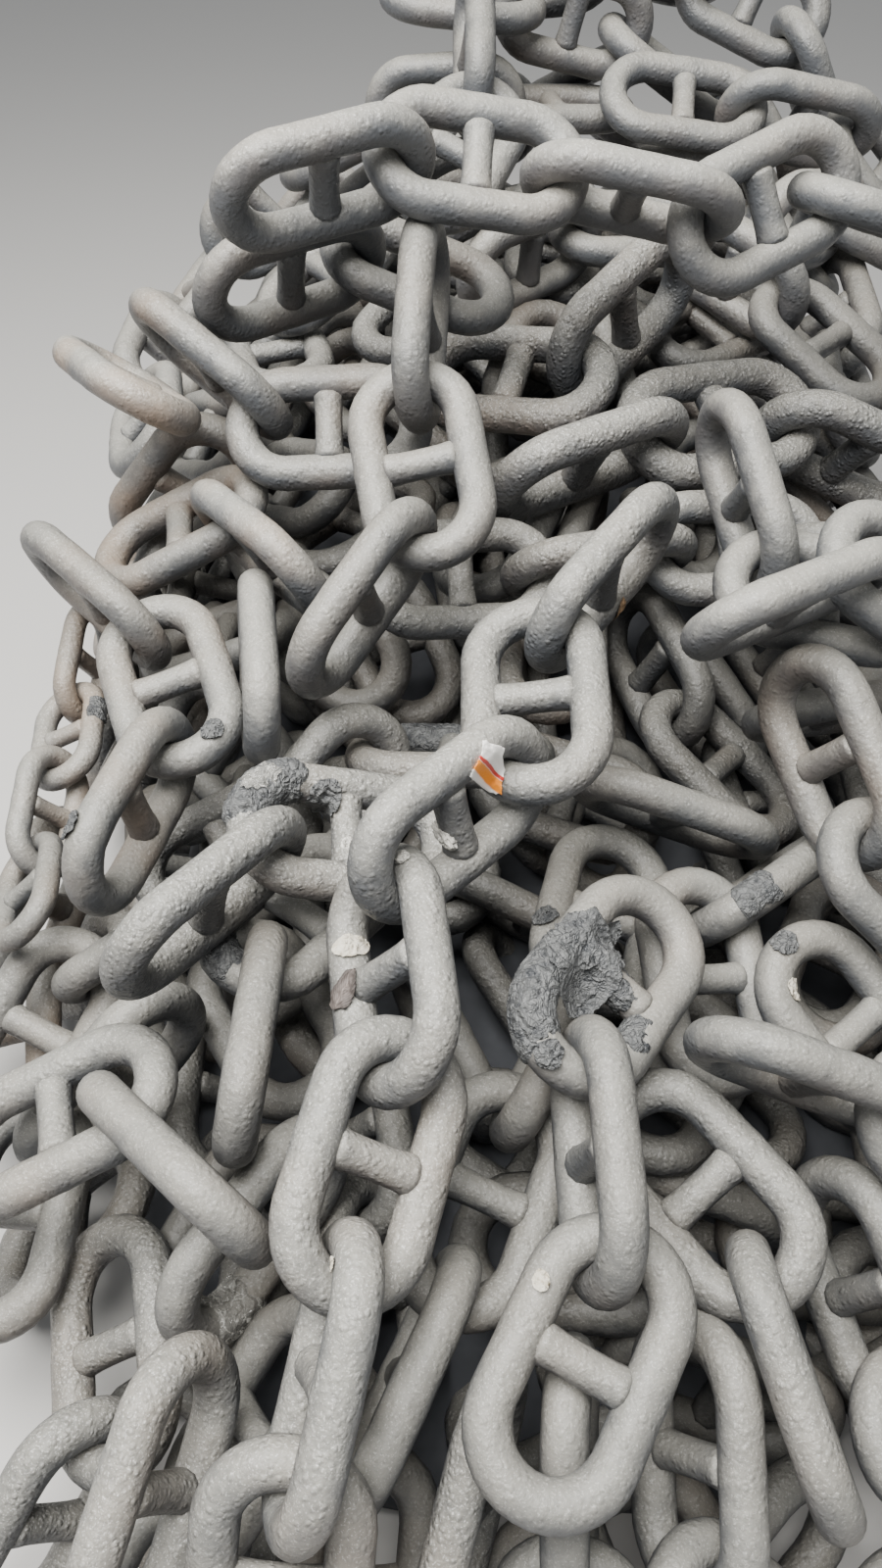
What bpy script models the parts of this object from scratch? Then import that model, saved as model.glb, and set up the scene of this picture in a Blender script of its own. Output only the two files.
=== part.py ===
"""Heap of studded ship's chain, lying as it was dumped: a plain core under runs of linked links.

Metres, +Z up. The origin is on the floor under the heap's middle, with +Y up the slope and +X to
the right as one looks up it.
"""
import math

import bmesh
import bpy
import numpy as np
from mathutils import Euler, Matrix, Vector
from mathutils.bvhtree import BVHTree

# One common link: round bar bent to a stadium, with a stud across its middle.
BAR_DIAMETER = 0.050
LINK_LENGTH = 0.300
LINK_WIDTH = 0.180
STUD_WIDTH = 0.034
CROWN_WEAR = 0.002
STANDING_GAP = 0.0003

# Facets of a link: sides of the bar's section, and chords of each crown.
BAR_SIDES = 6
CROWN_CHORDS = 4

# The heap's own outline on the floor, and its height along its middle, from the low front to
# the crest at the back: places as shares of the half depth, heights as shares of the crest's.
HEAP_HALF_WIDTH = 0.86
HEAP_HALF_DEPTH = 1.42
CREST_HEIGHT = 1.05
PROFILE_PLACES = (-0.986, -0.803, -0.585, -0.310, -0.134, -0.007, 0.282, 0.563, 0.810)
PROFILE_HEIGHTS = (0.381, 0.410, 0.438, 0.486, 0.590, 0.686, 0.862, 1.000, 1.240)
OUTLINE_POWER = 3.0
FLANK_POWER = 5.0
FLANK_ROUNDING = 0.7

# The core stays below the runs that lie on it.
CORE_COVER = 0.180
CORE_INSET = 0.100
CORE_LUMP = 0.022
CORE_LUMP_PITCH = 0.42
CORE_LUMP_PHASES = (2.6, 3.9)
CORE_RINGS = (0.22, 0.42, 0.60, 0.74, 0.85, 0.93, 0.98)
CORE_SECTORS = 30

# A joint swings this far in the plane of the link behind, and this far out of it.
SWING_LIMIT = math.radians(62.0)
BEND_LIMIT = math.radians(56.0)

# A run lies in the lowest room that small turns and shifts of it find, and bears on what is
# there. Shifts are shares of the bar. A run with more links than this turns less.
EASY_LINKS = 2.0
SAMPLE_SPACING = 0.5
STUD_SAMPLES = 3
STUD_SAMPLE_REACH = 0.5
TILTS = tuple(math.radians(angle) for angle in (-14.0, -7.0, 0.0, 7.0, 14.0))
ROLLS = tuple(math.radians(angle) for angle in (-16.0, 0.0, 16.0))
SHIFTS = ((0.0, 0.0), (0.6, 0.0), (-0.6, 0.0), (0.0, 0.6), (0.0, -0.6))
ROOM_MARGIN = 0.004
SAME_LIFT = 1e-6
COARSE_STEP = 0.003
FINE_STEPS = 4

# The runs' places are chosen on a plan of the heap: its middle on the plan, and its half width
# and half depth there.
PLAN_MIDDLE = (1.2, 15.0)
PLAN_HALF_WIDTH = 8.6
PLAN_HALF_DEPTH = 14.2

# Neighbouring faces are shaded apart where they meet at more than this.
SHARP_ANGLE = math.radians(50.0)

# name, x and y of the first link's middle on the plan, its roll about its own length (0 lies
# flat, 90 stands on edge), the twist at each joint, the links' size, and each link's heading
# (0 is +X and 90 is +Y). The runs lie on each other in this order.
RUNS = (
    ("left_foot", -5.9, 9.4, 20, 0, 1.0, (100, 80)),
    ("right_foot_front", 8.6, 8.6, 20, 0, 1.0, (88, 100)),
    ("right_foot_back", 8.6, 17.4, 80, 0, 1.0, (88, 96)),
    ("back_foot_left", -3.2, 27.3, 20, 0, 1.0, (5, -8)),
    ("back_foot_row", -5.2, 25.6, 15, 0, 1.0, (50, 10, -4, 6, -8, 4, -40)),
    ("back_slope_left", -4.8, 19.6, 0, 0, 1.0, (100, 84, 60, 20, -14, -6, 10)),
    ("back_slope_right", 7.0, 19.4, 0, 0, 1.0, (84, 96, 110, 150, 176, 186, 170)),
    ("front_foot_right", 5.4, 2.9, 20, 0, 1.0, (20, 48)),
    ("small_chain_left", -5.7, 14.2, 50, 8, 0.68, (-100, -84, -96, -78)),
    ("front_low_left", -2.9, 3.0, 40, 0, 1.0, (75, 62)),
    ("front_low_right", 3.3, 2.6, 20, 0, 1.0, (158, 100)),
    ("front_low_middle", 1.3, 2.4, 0, 0, 1.0, (92, 78)),
    ("front_left_bar", -2.8, 3.6, 90, 0, 1.0, (64,)),
    ("front_left_pitted", -4.4, 4.0, 90, 0, 1.0, (40, 102)),
    ("front_left_cross", -2.1, 5.7, 90, 0, 1.0, (48,)),
    ("left_standing_bar", -1.8, 7.5, 90, 0, 1.0, (92, 58)),
    ("left_pair", -5.1, 8.9, 40, 0, 1.0, (58, 12)),
    ("left_edge_loop", -5.2, 6.9, 30, 0, 1.0, (85, 32)),
    ("left_face_and_bar", -4.0, 6.8, 0, 0, 1.0, (12, -60)),
    ("left_sloping_bars", -2.6, 8.5, 90, 10, 1.0, (55, 10)),
    ("middle_tilted", -1.9, 11.4, 50, 0, 1.0, (45, -5)),
    ("left_long_bar", -2.2, 12.6, 90, 0, 1.0, (104,)),
    ("left_upper_sweep", -3.5, 10.6, 85, 0, 1.0, (75, 115, 140)),
    ("front_right_hook", 3.2, 4.3, 86, 0, 1.0, (98, 124)),
    ("front_right_crown", 5.7, 4.4, 0, 0, 1.0, (180, 92)),
    ("front_middle_edge", 0.1, 4.5, 90, 0, 1.0, (66, 70, 66, 76)),
    ("front_pitted_bar", 0.6, 3.4, 90, 0, 1.0, (62,)),
    ("tar_covered_link", 3.4, 9.2, 0, 0, 1.0, (100, 36)),
    ("right_middle_low", 4.7, 8.2, 20, 0, 1.0, (-45, -18)),
    ("right_long_bar", 3.7, 6.9, 86, 0, 1.0, (-12, -24)),
    ("centre_chain", -2.5, 2.1, 90, 12, 1.0, (30, 82, 70, 72, 95, 36, 88, 48)),
    ("front_right_face", 1.4, 4.5, 0, 10, 1.0, (60, 92, 52)),
    ("right_crossing", 4.5, 10.8, 90, 0, 1.0, (-62, -32)),
    ("right_fold", 5.6, 13.2, 84, 0, 1.0, (24, -34)),
    ("right_loop", 5.0, 12.4, 15, 0, 1.0, (165, 96)),
    ("right_diagonal", 4.2, 11.9, 86, 0, 1.0, (30, -18)),
    ("centre_cross_bar", 2.9, 11.2, 88, 0, 1.0, (-10,)),
    ("upper_pitted_chain", 0.3, 14.5, 0, 0, 1.0, (8, 14, 8, 0)),
    ("upper_left_long", -5.0, 16.4, 0, 0, 1.0, (10, -12)),
    ("upper_left_ring", -4.2, 15.2, 0, 0, 1.0, (0, -58)),
    ("upper_left_bar", -4.2, 16.0, 88, 0, 1.0, (120,)),
    ("upper_left_face", -1.9, 15.5, 0, 0, 1.0, (180, 140)),
    ("bright_face_link", -1.4, 12.3, 90, 0, 1.0, (50, 97, 82)),
    ("upper_middle_fold", -2.4, 16.9, 80, 0, 1.0, (35, -5)),
    ("heavy_pitted_link", 1.1, 18.4, 0, 0, 1.15, (-20, 43)),
    ("right_pitted_ring", 2.2, 15.6, 90, 0, 1.15, (30, 20, -4)),
    ("upper_cross_chain", -1.5, 15.9, 90, 12, 1.0, (22, 0, -5, 36, 0, -55)),
    ("crest_right_bar", 6.5, 21.4, 88, 0, 1.0, (48, 20)),
    ("crest_left_face", -1.8, 21.2, 10, 0, 1.0, (30, 10)),
    ("crest_standing_bar", 0.3, 20.8, 0, 0, 1.0, (64, 92)),
    ("crest_middle_loop", 2.7, 23.4, 0, 0, 1.0, (20, -10)),
    ("crest_studded_chain", 1.5, 20.7, 90, 0, 1.0, (35, 5, -42, -45)),
    ("crest_right_chain", 4.0, 23.2, 10, 0, 1.0, (-5, -2, -34)),
    ("crest_back_row", -0.2, 25.8, 10, 0, 1.0, (8, -12, 10, -14, 8)),
    ("crest_back_right", 6.6, 24.2, 20, 0, 1.0, (110, 160, 150)),
    ("right_flank_chain", 8.3, 10.2, 30, 0, 1.0, (84, 94, 88, 96, 90)),
)

# Dry, dusty steel on the links, and the shade between them on the core.
LINK_COLOUR = (0.30, 0.285, 0.26, 1.0)
LINK_ROUGHNESS = 0.82
LINK_METALLIC = 0.15
CORE_COLOUR = (0.045, 0.045, 0.05, 1.0)
CORE_ROUGHNESS = 0.95


def clear_scene():
    """Remove every object that the scene already holds."""
    for item in list(bpy.data.objects):
        bpy.data.objects.remove(item, do_unlink=True)


def make_material(name, colour, roughness, metallic):
    """Return a plain Principled material."""
    material = bpy.data.materials.new(name)
    material.use_nodes = True
    shader = material.node_tree.nodes["Principled BSDF"]
    shader.inputs["Base Color"].default_value = colour
    shader.inputs["Roughness"].default_value = roughness
    shader.inputs["Metallic"].default_value = metallic
    return material


def outline_share(x, y, inset):
    """Return 0 at the heap's middle and 1 on its outline, moved inwards by the inset."""
    across = abs(x) / (HEAP_HALF_WIDTH - inset)
    along = abs(y) / (HEAP_HALF_DEPTH - inset)
    return (across ** OUTLINE_POWER + along ** OUTLINE_POWER) ** (1.0 / OUTLINE_POWER)


def crest_height(y):
    """Return the height along the heap's middle: a low front that rises to the crest."""
    return CREST_HEIGHT * np.interp(y / HEAP_HALF_DEPTH, PROFILE_PLACES, PROFILE_HEIGHTS)


def flank(share):
    """Return how much of the crest height is left at a share of the way to the outline."""
    inside = np.clip(1.0 - share ** FLANK_POWER, 0.0, 1.0)
    return inside ** FLANK_ROUNDING


def heap_height(x, y):
    """Return the height of the heap's own surface."""
    return crest_height(y) * flank(outline_share(x, y, 0.0))


def core_height(x, y):
    """Return the height of the core's top, lumpy and a cover's depth below the surface."""
    share = outline_share(x, y, CORE_INSET)
    step = 2.0 * math.pi / CORE_LUMP_PITCH
    phase_x, phase_y = CORE_LUMP_PHASES
    lump = CORE_LUMP * np.sin(step * x + phase_x) * np.sin(step * y + phase_y)
    return (crest_height(y) - CORE_COVER + lump) * flank(share)


def surface_frame(x, y):
    """Return the two slopes of the heap's surface at a place on the plan."""
    reach = 0.5 * LINK_WIDTH
    slope_x = (heap_height(x + reach, y) - heap_height(x - reach, y)) / (2.0 * reach)
    slope_y = (heap_height(x, y + reach) - heap_height(x, y - reach)) / (2.0 * reach)
    return slope_x, slope_y


def lying_direction(x, y, heading):
    """Return the unit direction that runs along the surface on a heading."""
    slope_x, slope_y = surface_frame(x, y)
    angle = math.radians(heading)
    rise = slope_x * math.cos(angle) + slope_y * math.sin(angle)
    return Vector((math.cos(angle), math.sin(angle), rise)).normalized()


def surface_normal(x, y):
    """Return the unit normal of the heap's surface."""
    slope_x, slope_y = surface_frame(x, y)
    return Vector((-slope_x, -slope_y, 1.0)).normalized()


class Link:
    """One link's place: its middle, its long direction and the normal of its plane."""

    def __init__(self, middle, along, normal, size):
        self.middle = middle
        self.along = along
        self.normal = normal
        self.size = size

    def matrix(self):
        """Return the placing matrix: local X across, Y along and Z out of the link's plane."""
        across = self.along.cross(self.normal).normalized()
        turn = Matrix((across, self.along, self.normal)).transposed()
        return Matrix.Translation(self.middle) @ turn.to_4x4() @ Matrix.Scale(self.size, 4)


def side_offset():
    """Return the distance from a link's long axis to the middle of each side bar."""
    return 0.5 * (LINK_WIDTH - BAR_DIAMETER)


def half_straight():
    """Return half the length of a link's straight sides."""
    return 0.5 * (LINK_LENGTH - LINK_WIDTH)


def corner_radius():
    """Return the section's corner radius, so that corners and flats average the bar's radius."""
    return BAR_DIAMETER / (1.0 + math.cos(math.pi / BAR_SIDES))


def flat_radius():
    """Return the distance from the bar's middle to a flat of its section."""
    return corner_radius() * math.cos(math.pi / BAR_SIDES)


def crown_points():
    """Return a crown's middle-line corners about its own centre, from the right side round."""
    half_chord = math.pi / (2.0 * CROWN_CHORDS)
    proud = 0.5 * (1.0 + 1.0 / math.cos(half_chord))
    points = []
    for step in range(CROWN_CHORDS + 1):
        angle = math.pi * step / CROWN_CHORDS
        inner = 0 < step < CROWN_CHORDS
        radius = side_offset() * (proud if inner else 1.0)
        points.append((radius * math.cos(angle), radius * math.sin(angle)))
    return points


def crown_reach(angle):
    """Return the crown's middle-line radius in a direction at an angle from the link's length."""
    ray = (math.sin(angle), math.cos(angle))
    points = crown_points()
    for (x0, y0), (x1, y1) in zip(points, points[1:]):
        side = ray[0] * (y1 - y0) - ray[1] * (x1 - x0)
        reach = (x0 * y1 - y0 * x1) / side
        if x0 * ray[1] - y0 * ray[0] >= 0.0 >= x1 * ray[1] - y1 * ray[0]:
            return reach
    return side_offset()


def clamp_turn(direction, towards, limit):
    """Return the direction, turned back towards another one where it is past the limit."""
    angle = direction.angle(towards)
    if angle <= limit:
        return direction.normalized()
    axis = towards.cross(direction).normalized()
    return (Matrix.Rotation(limit, 3, axis) @ towards).normalized()


def next_link(link, heading, twist):
    """Return the link that hangs in this one's far crown, and lies on the heading."""
    eye = link.middle + link.along * half_straight() * link.size
    wanted = lying_direction(eye.x, eye.y, heading)
    pull = wanted - link.normal * wanted.dot(link.normal)
    pull = clamp_turn(pull, link.along, SWING_LIMIT)
    normal = pull.cross(link.normal).normalized()
    normal = (Matrix.Rotation(math.radians(twist), 3, pull) @ normal).normalized()
    along = wanted - normal * wanted.dot(normal)
    along = clamp_turn(along, pull, BEND_LIMIT)
    contact = 2.0 * flat_radius() - CROWN_WEAR
    swing = pull.angle(link.along)
    bend = pull.angle(along)
    spread = (crown_reach(swing) + crown_reach(bend) - contact) * link.size
    middle = eye + pull * spread + along * half_straight() * link.size
    return Link(middle, along, normal, link.size)


def lay_run(x, y, roll, twist, size, headings):
    """Return a run's links, laid along the heap's surface."""
    along = lying_direction(x, y, headings[0])
    up = surface_normal(x, y)
    up = (up - along * up.dot(along)).normalized()
    normal = (Matrix.Rotation(math.radians(roll), 3, along) @ up).normalized()
    height = heap_height(x, y)
    links = [Link(Vector((x, y, height)), along, normal, size)]
    for heading in headings[1:]:
        links.append(next_link(links[-1], heading, twist))
    return links


def middle_line():
    """Return a link's middle line as a closed loop of plan points, in order."""
    offset = side_offset()
    straight = half_straight()
    stud = 0.5 * STUD_WIDTH
    crown = crown_points()[1:-1]
    loop = [(offset, -straight), (offset, -stud), (offset, stud), (offset, straight)]
    loop += [(px, py + straight) for px, py in crown]
    return loop + [(-px, -py) for px, py in loop]


def link_mesh():
    """Return one link as a mesh: six-sided bar swept round its middle line, with its stud."""
    loop = [Vector((px, py, 0.0)) for px, py in middle_line()]
    count = len(loop)
    corners = corner_radius()
    mesh = bmesh.new()
    rings = []
    for index, point in enumerate(loop):
        before = (point - loop[index - 1]).normalized()
        after = (loop[(index + 1) % count] - point).normalized()
        tangent = (before + after).normalized()
        inward = Vector((0.0, 0.0, 1.0)).cross(tangent)
        stretch = 1.0 / math.cos(0.5 * before.angle(after))
        ring = []
        for side in range(BAR_SIDES):
            angle = math.pi * (2 * side + 1) / BAR_SIDES
            in_plane = inward * (corners * math.cos(angle) * stretch)
            out_of_plane = Vector((0.0, 0.0, corners * math.sin(angle)))
            ring.append(mesh.verts.new(point + in_plane + out_of_plane))
        rings.append(ring)
    stud_rings = (1, 1 + count // 2)
    for index, ring in enumerate(rings):
        following = rings[(index + 1) % count]
        for side in range(BAR_SIDES):
            beside = (side + 1) % BAR_SIDES
            faces_in = side == BAR_SIDES - 1
            if not (faces_in and index in stud_rings):
                quad = (ring[side], following[side], following[beside], ring[beside])
                mesh.faces.new(quad)
    add_stud(mesh, rings, stud_rings)
    bmesh.ops.recalc_face_normals(mesh, faces=mesh.faces)
    data = bpy.data.meshes.new("link")
    mesh.to_mesh(data)
    mesh.free()
    return data


def add_stud(mesh, rings, stud_rings):
    """Bridge the two open flats that face each other across the middle of the link."""
    openings = []
    for start in stud_rings:
        near = rings[start]
        far = rings[(start + 1) % len(rings)]
        openings.append((near[-1], far[-1], far[0], near[0]))
    right, left = openings
    left = (left[1], left[0], left[3], left[2])
    for corner in range(4):
        beside = (corner + 1) % 4
        mesh.faces.new((right[corner], right[beside], left[beside], left[corner]))


def mesh_copy(data, matrix, name):
    """Return an object that holds a moved copy of a mesh."""
    copy = data.copy()
    copy.transform(matrix)
    item = bpy.data.objects.new(name, copy)
    bpy.context.scene.collection.objects.link(item)
    return item


def fuse_run(name, links, pattern):
    """Return one closed mesh of a run's links, joined where their worn crowns bear."""
    parts = [mesh_copy(pattern, link.matrix(), f"{name}_{k}") for k, link in enumerate(links)]
    base = parts[0]
    for other in parts[1:]:
        union = base.modifiers.new("join", "BOOLEAN")
        union.operation = "UNION"
        union.solver = "EXACT"
        union.object = other
    depsgraph = bpy.context.evaluated_depsgraph_get()
    joined = bpy.data.meshes.new_from_object(base.evaluated_get(depsgraph))
    for part in parts:
        data = part.data
        bpy.data.objects.remove(part, do_unlink=True)
        bpy.data.meshes.remove(data)
    joined.name = name
    fill_pockets(joined)
    return joined


def fill_pockets(data):
    """Delete the inner skins of any pockets that bearing crowns close in between them."""
    mesh = bmesh.new()
    mesh.from_mesh(data)
    left = set(mesh.verts)
    skins = []
    while left:
        edge_of_skin = [left.pop()]
        skin = set(edge_of_skin)
        while edge_of_skin:
            vertex = edge_of_skin.pop()
            beside = {edge.other_vert(vertex) for edge in vertex.link_edges} - skin
            skin |= beside
            edge_of_skin.extend(beside)
        left -= skin
        skins.append(skin)
    skins.sort(key=len)
    pockets = [vertex for skin in skins[:-1] for vertex in skin]
    bmesh.ops.delete(mesh, geom=pockets, context="VERTS")
    mesh.to_mesh(data)
    mesh.free()


def sample_line():
    """Return points along a link's middle line and stud, half a bar apart, in its own frame."""
    spacing = SAMPLE_SPACING * BAR_DIAMETER
    loop = np.array(middle_line())
    closed = np.vstack([loop, loop[:1]])
    steps = np.linalg.norm(np.diff(closed, axis=0), axis=1)
    travel = np.concatenate([[0.0], np.cumsum(steps)])
    places = np.linspace(0.0, travel[-1], int(travel[-1] / spacing), endpoint=False)
    line_x = np.interp(places, travel, closed[:, 0])
    line_y = np.interp(places, travel, closed[:, 1])
    reach = STUD_SAMPLE_REACH * side_offset()
    stud_x = np.linspace(-reach, reach, STUD_SAMPLES)
    points = np.column_stack([np.concatenate([line_x, stud_x]),
                              np.concatenate([line_y, np.zeros_like(stud_x)])])
    return np.column_stack([points, np.zeros(len(points))])


class Ground:
    """What a run can come to lie on: the floor, the core and the runs laid before it."""

    def __init__(self):
        self.points = np.zeros((0, 3))
        self.radii = np.zeros(0)
        self.trees = []

    def lowest_lift(self, points, radius):
        """Return the lowest lift that keeps round bars along the points clear of everything."""
        bed = core_height(points[:, 0], points[:, 1])
        lift = (np.maximum(bed, 0.0) + radius - points[:, 2]).max()
        low = points[:, :2].min(axis=0) - 2.0 * BAR_DIAMETER
        high = points[:, :2].max(axis=0) + 2.0 * BAR_DIAMETER
        near = ((self.points[:, :2] > low) & (self.points[:, :2] < high)).all(axis=1)
        if not near.any():
            return lift
        others = self.points[near]
        span = others[:, None, :2] - points[None, :, :2]
        reach = (self.radii[near][:, None] + radius + ROOM_MARGIN) ** 2
        under = reach - (span ** 2).sum(axis=2)
        blocks = under > 0.0
        level = (others[:, None, 2] - points[None, :, 2])[blocks]
        half = np.sqrt(under[blocks])
        order = np.argsort(level - half)
        for start, end in zip((level - half)[order], (level + half)[order]):
            if start > lift:
                break
            lift = max(lift, end)
        return lift

    def touches(self, mesh, lift):
        """Return whether a mesh, lifted by this much, cuts the floor or anything laid before."""
        places = [vertex.co + Vector((0.0, 0.0, lift)) for vertex in mesh.vertices]
        if min(place.z for place in places) < 0.0:
            return True
        low = Vector(tuple(min(place[axis] for place in places) for axis in range(3)))
        high = Vector(tuple(max(place[axis] for place in places) for axis in range(3)))
        tree = BVHTree.FromPolygons(places, [tuple(face.vertices) for face in mesh.polygons])
        for other, other_low, other_high in self.trees:
            clear = any(low[k] > other_high[k] or high[k] < other_low[k] for k in range(3))
            if not clear and tree.overlap(other):
                return True
        return False

    def add_mesh(self, mesh):
        """Let later runs lie on this mesh."""
        places = [vertex.co.copy() for vertex in mesh.vertices]
        low = Vector(tuple(min(place[axis] for place in places) for axis in range(3)))
        high = Vector(tuple(max(place[axis] for place in places) for axis in range(3)))
        tree = BVHTree.FromPolygons(places, [tuple(face.vertices) for face in mesh.polygons])
        self.trees.append((tree, low, high))

    def add_points(self, points, radius):
        """Let later runs lie on round bars along these points."""
        self.points = np.vstack([self.points, points])
        self.radii = np.concatenate([self.radii, np.full(len(points), radius)])


def run_points(links, line):
    """Return the sample points of all of a run's links."""
    homogeneous = np.column_stack([line, np.ones(len(line))])
    return np.vstack([(homogeneous @ np.array(link.matrix()).T)[:, :3] for link in links])


def best_lie(ground, points, radius, heading, ease):
    """Return the small move that brings a run's middle lowest, and the run's points after it."""
    middle = points.mean(axis=0)
    facing = Matrix.Rotation(math.radians(heading), 3, "Z")
    best = None
    for tilt in TILTS:
        for rolled in ROLLS:
            turn = Euler((rolled * ease, tilt * ease, 0.0)).to_matrix()
            turn = facing @ turn @ facing.transposed()
            turned = (points - middle) @ np.array(turn).T + middle
            for shift in SHIFTS:
                moved = turned + np.array((*shift, 0.0)) * BAR_DIAMETER
                lift = ground.lowest_lift(moved, radius)
                if best is None or lift < best[0] - SAME_LIFT:
                    best = (lift, turn, shift)
    lift, turn, shift = best
    move = np.array((shift[0] * BAR_DIAMETER, shift[1] * BAR_DIAMETER, lift))
    pivot = Matrix.Translation(Vector(middle))
    place = Matrix.Translation(Vector(move)) @ pivot @ turn.to_4x4() @ pivot.inverted()
    moved = (points - middle) @ np.array(turn).T + middle + move
    return place, moved


def settle(ground, mesh):
    """Return the lift that leaves a mesh just clear of what it lies on."""
    lift = COARSE_STEP
    while ground.touches(mesh, lift):
        lift += COARSE_STEP
    while not ground.touches(mesh, lift - COARSE_STEP):
        lift -= COARSE_STEP
    low = lift - COARSE_STEP
    for _ in range(FINE_STEPS):
        half = 0.5 * (low + lift)
        if ground.touches(mesh, half):
            low = half
        else:
            lift = half
    return lift + STANDING_GAP


def add_run(ground, pattern, line, material, name, links, heading):
    """Lay one run on the ground, and return its object."""
    radius = 0.5 * BAR_DIAMETER * links[0].size
    ease = min(1.0, EASY_LINKS / len(links))
    place, points = best_lie(ground, run_points(links, line), radius, heading, ease)
    mesh = fuse_run(name, links, pattern)
    mesh.transform(place)
    lift = settle(ground, mesh)
    mesh.transform(Matrix.Translation((0.0, 0.0, lift)))
    ground.add_mesh(mesh)
    ground.add_points(points + np.array((0.0, 0.0, lift)), radius)
    mesh.materials.clear()
    mesh.materials.append(material)
    item = bpy.data.objects.new(name, mesh)
    bpy.context.scene.collection.objects.link(item)
    middle = Vector(points.mean(axis=0))
    mesh.transform(Matrix.Translation(-middle))
    item.location = middle
    return item


def add_core(material):
    """Return the core: a closed mound on a flat base, in rings that follow the heap's outline."""
    half_x = HEAP_HALF_WIDTH - CORE_INSET
    half_y = HEAP_HALF_DEPTH - CORE_INSET
    mesh = bmesh.new()
    top = mesh.verts.new((0.0, 0.0, core_height(0.0, 0.0)))
    rings = []
    for share in CORE_RINGS + (1.0,):
        ring = []
        for sector in range(CORE_SECTORS):
            angle = 2.0 * math.pi * sector / CORE_SECTORS
            cosine = math.cos(angle)
            sine = math.sin(angle)
            size = abs(cosine) ** OUTLINE_POWER + abs(sine) ** OUTLINE_POWER
            reach = share / size ** (1.0 / OUTLINE_POWER)
            x = half_x * reach * cosine
            y = half_y * reach * sine
            height = core_height(x, y) if share < 1.0 else 0.0
            ring.append(mesh.verts.new((x, y, height)))
        rings.append(ring)
    base = mesh.verts.new((0.0, 0.0, 0.0))
    for sector in range(CORE_SECTORS):
        beside = (sector + 1) % CORE_SECTORS
        mesh.faces.new((top, rings[0][sector], rings[0][beside]))
        mesh.faces.new((base, rings[-1][beside], rings[-1][sector]))
        for inner, outer in zip(rings, rings[1:]):
            quad = (inner[sector], outer[sector], outer[beside], inner[beside])
            mesh.faces.new(quad)
    bmesh.ops.triangulate(mesh, faces=mesh.faces)
    bmesh.ops.recalc_face_normals(mesh, faces=mesh.faces)
    data = bpy.data.meshes.new("heap_core")
    mesh.to_mesh(data)
    mesh.free()
    data.materials.append(material)
    item = bpy.data.objects.new("heap_core", data)
    bpy.context.scene.collection.objects.link(item)
    return item


def build():
    """Build the core, and lay every run on it in order."""
    clear_scene()
    steel = make_material("dusty_steel", LINK_COLOUR, LINK_ROUGHNESS, LINK_METALLIC)
    shade = make_material("shaded_core", CORE_COLOUR, CORE_ROUGHNESS, 0.0)
    core = add_core(shade)
    ground = Ground()
    ground.add_mesh(core.data)
    pattern = link_mesh()
    line = sample_line()
    for name, plan_x, plan_y, roll, twist, size, headings in RUNS:
        x = (plan_x - PLAN_MIDDLE[0]) / PLAN_HALF_WIDTH * HEAP_HALF_WIDTH
        y = (plan_y - PLAN_MIDDLE[1]) / PLAN_HALF_DEPTH * HEAP_HALF_DEPTH
        links = lay_run(x, y, roll, twist, size, headings)
        item = add_run(ground, pattern, line, steel, name, links, headings[0])
        item.data.shade_smooth()
        item.data.set_sharp_from_angle(angle=SHARP_ANGLE)
    bpy.data.meshes.remove(pattern)


build()
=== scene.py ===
"""Heap of studded ship's chain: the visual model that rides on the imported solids.

Each run of links in the frame is replaced by round, pitted, dusty links in the same places. The
plain core is replaced by buried runs of the same chain over a dark middle, and film and litter lie
where the heap has caught them. Metres, +Z up, in the frame's own axes.
"""
import math

import bpy
import numpy as np
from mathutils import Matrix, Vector
from mathutils.bvhtree import BVHTree


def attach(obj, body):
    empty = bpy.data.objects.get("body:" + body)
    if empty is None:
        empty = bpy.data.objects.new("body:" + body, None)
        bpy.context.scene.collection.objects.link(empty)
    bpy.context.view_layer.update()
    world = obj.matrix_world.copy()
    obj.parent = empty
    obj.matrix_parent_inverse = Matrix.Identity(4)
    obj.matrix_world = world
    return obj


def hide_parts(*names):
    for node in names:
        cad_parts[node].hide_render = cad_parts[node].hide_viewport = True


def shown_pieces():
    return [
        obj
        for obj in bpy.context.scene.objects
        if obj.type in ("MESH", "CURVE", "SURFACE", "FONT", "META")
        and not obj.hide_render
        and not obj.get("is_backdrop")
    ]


bl_info = {
    "name": "Heap of studded ship's chain",
    "version": (1, 0, 0),
    "blender": (4, 5, 0),
    "location": "3D View > Sidebar > Chain heap",
    "description": "Dresses the packed chain heap with round dusty links, film and litter",
    "category": "Object",
}

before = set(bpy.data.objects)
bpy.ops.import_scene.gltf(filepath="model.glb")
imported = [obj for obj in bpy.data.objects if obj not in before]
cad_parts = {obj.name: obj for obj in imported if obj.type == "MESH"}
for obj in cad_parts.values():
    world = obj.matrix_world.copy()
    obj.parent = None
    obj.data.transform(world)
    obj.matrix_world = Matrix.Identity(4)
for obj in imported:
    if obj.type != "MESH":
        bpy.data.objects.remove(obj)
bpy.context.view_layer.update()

# One common link, as in the solids: the bar's section there is six-sided.
BAR_DIAMETER = 0.050
LINK_LENGTH = 0.300
LINK_WIDTH = 0.180
SOLID_SIDES = 6
SOLID_STUD_WIDTH = 0.034
LINK_SIZES = (0.68, 1.0, 1.15)

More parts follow.
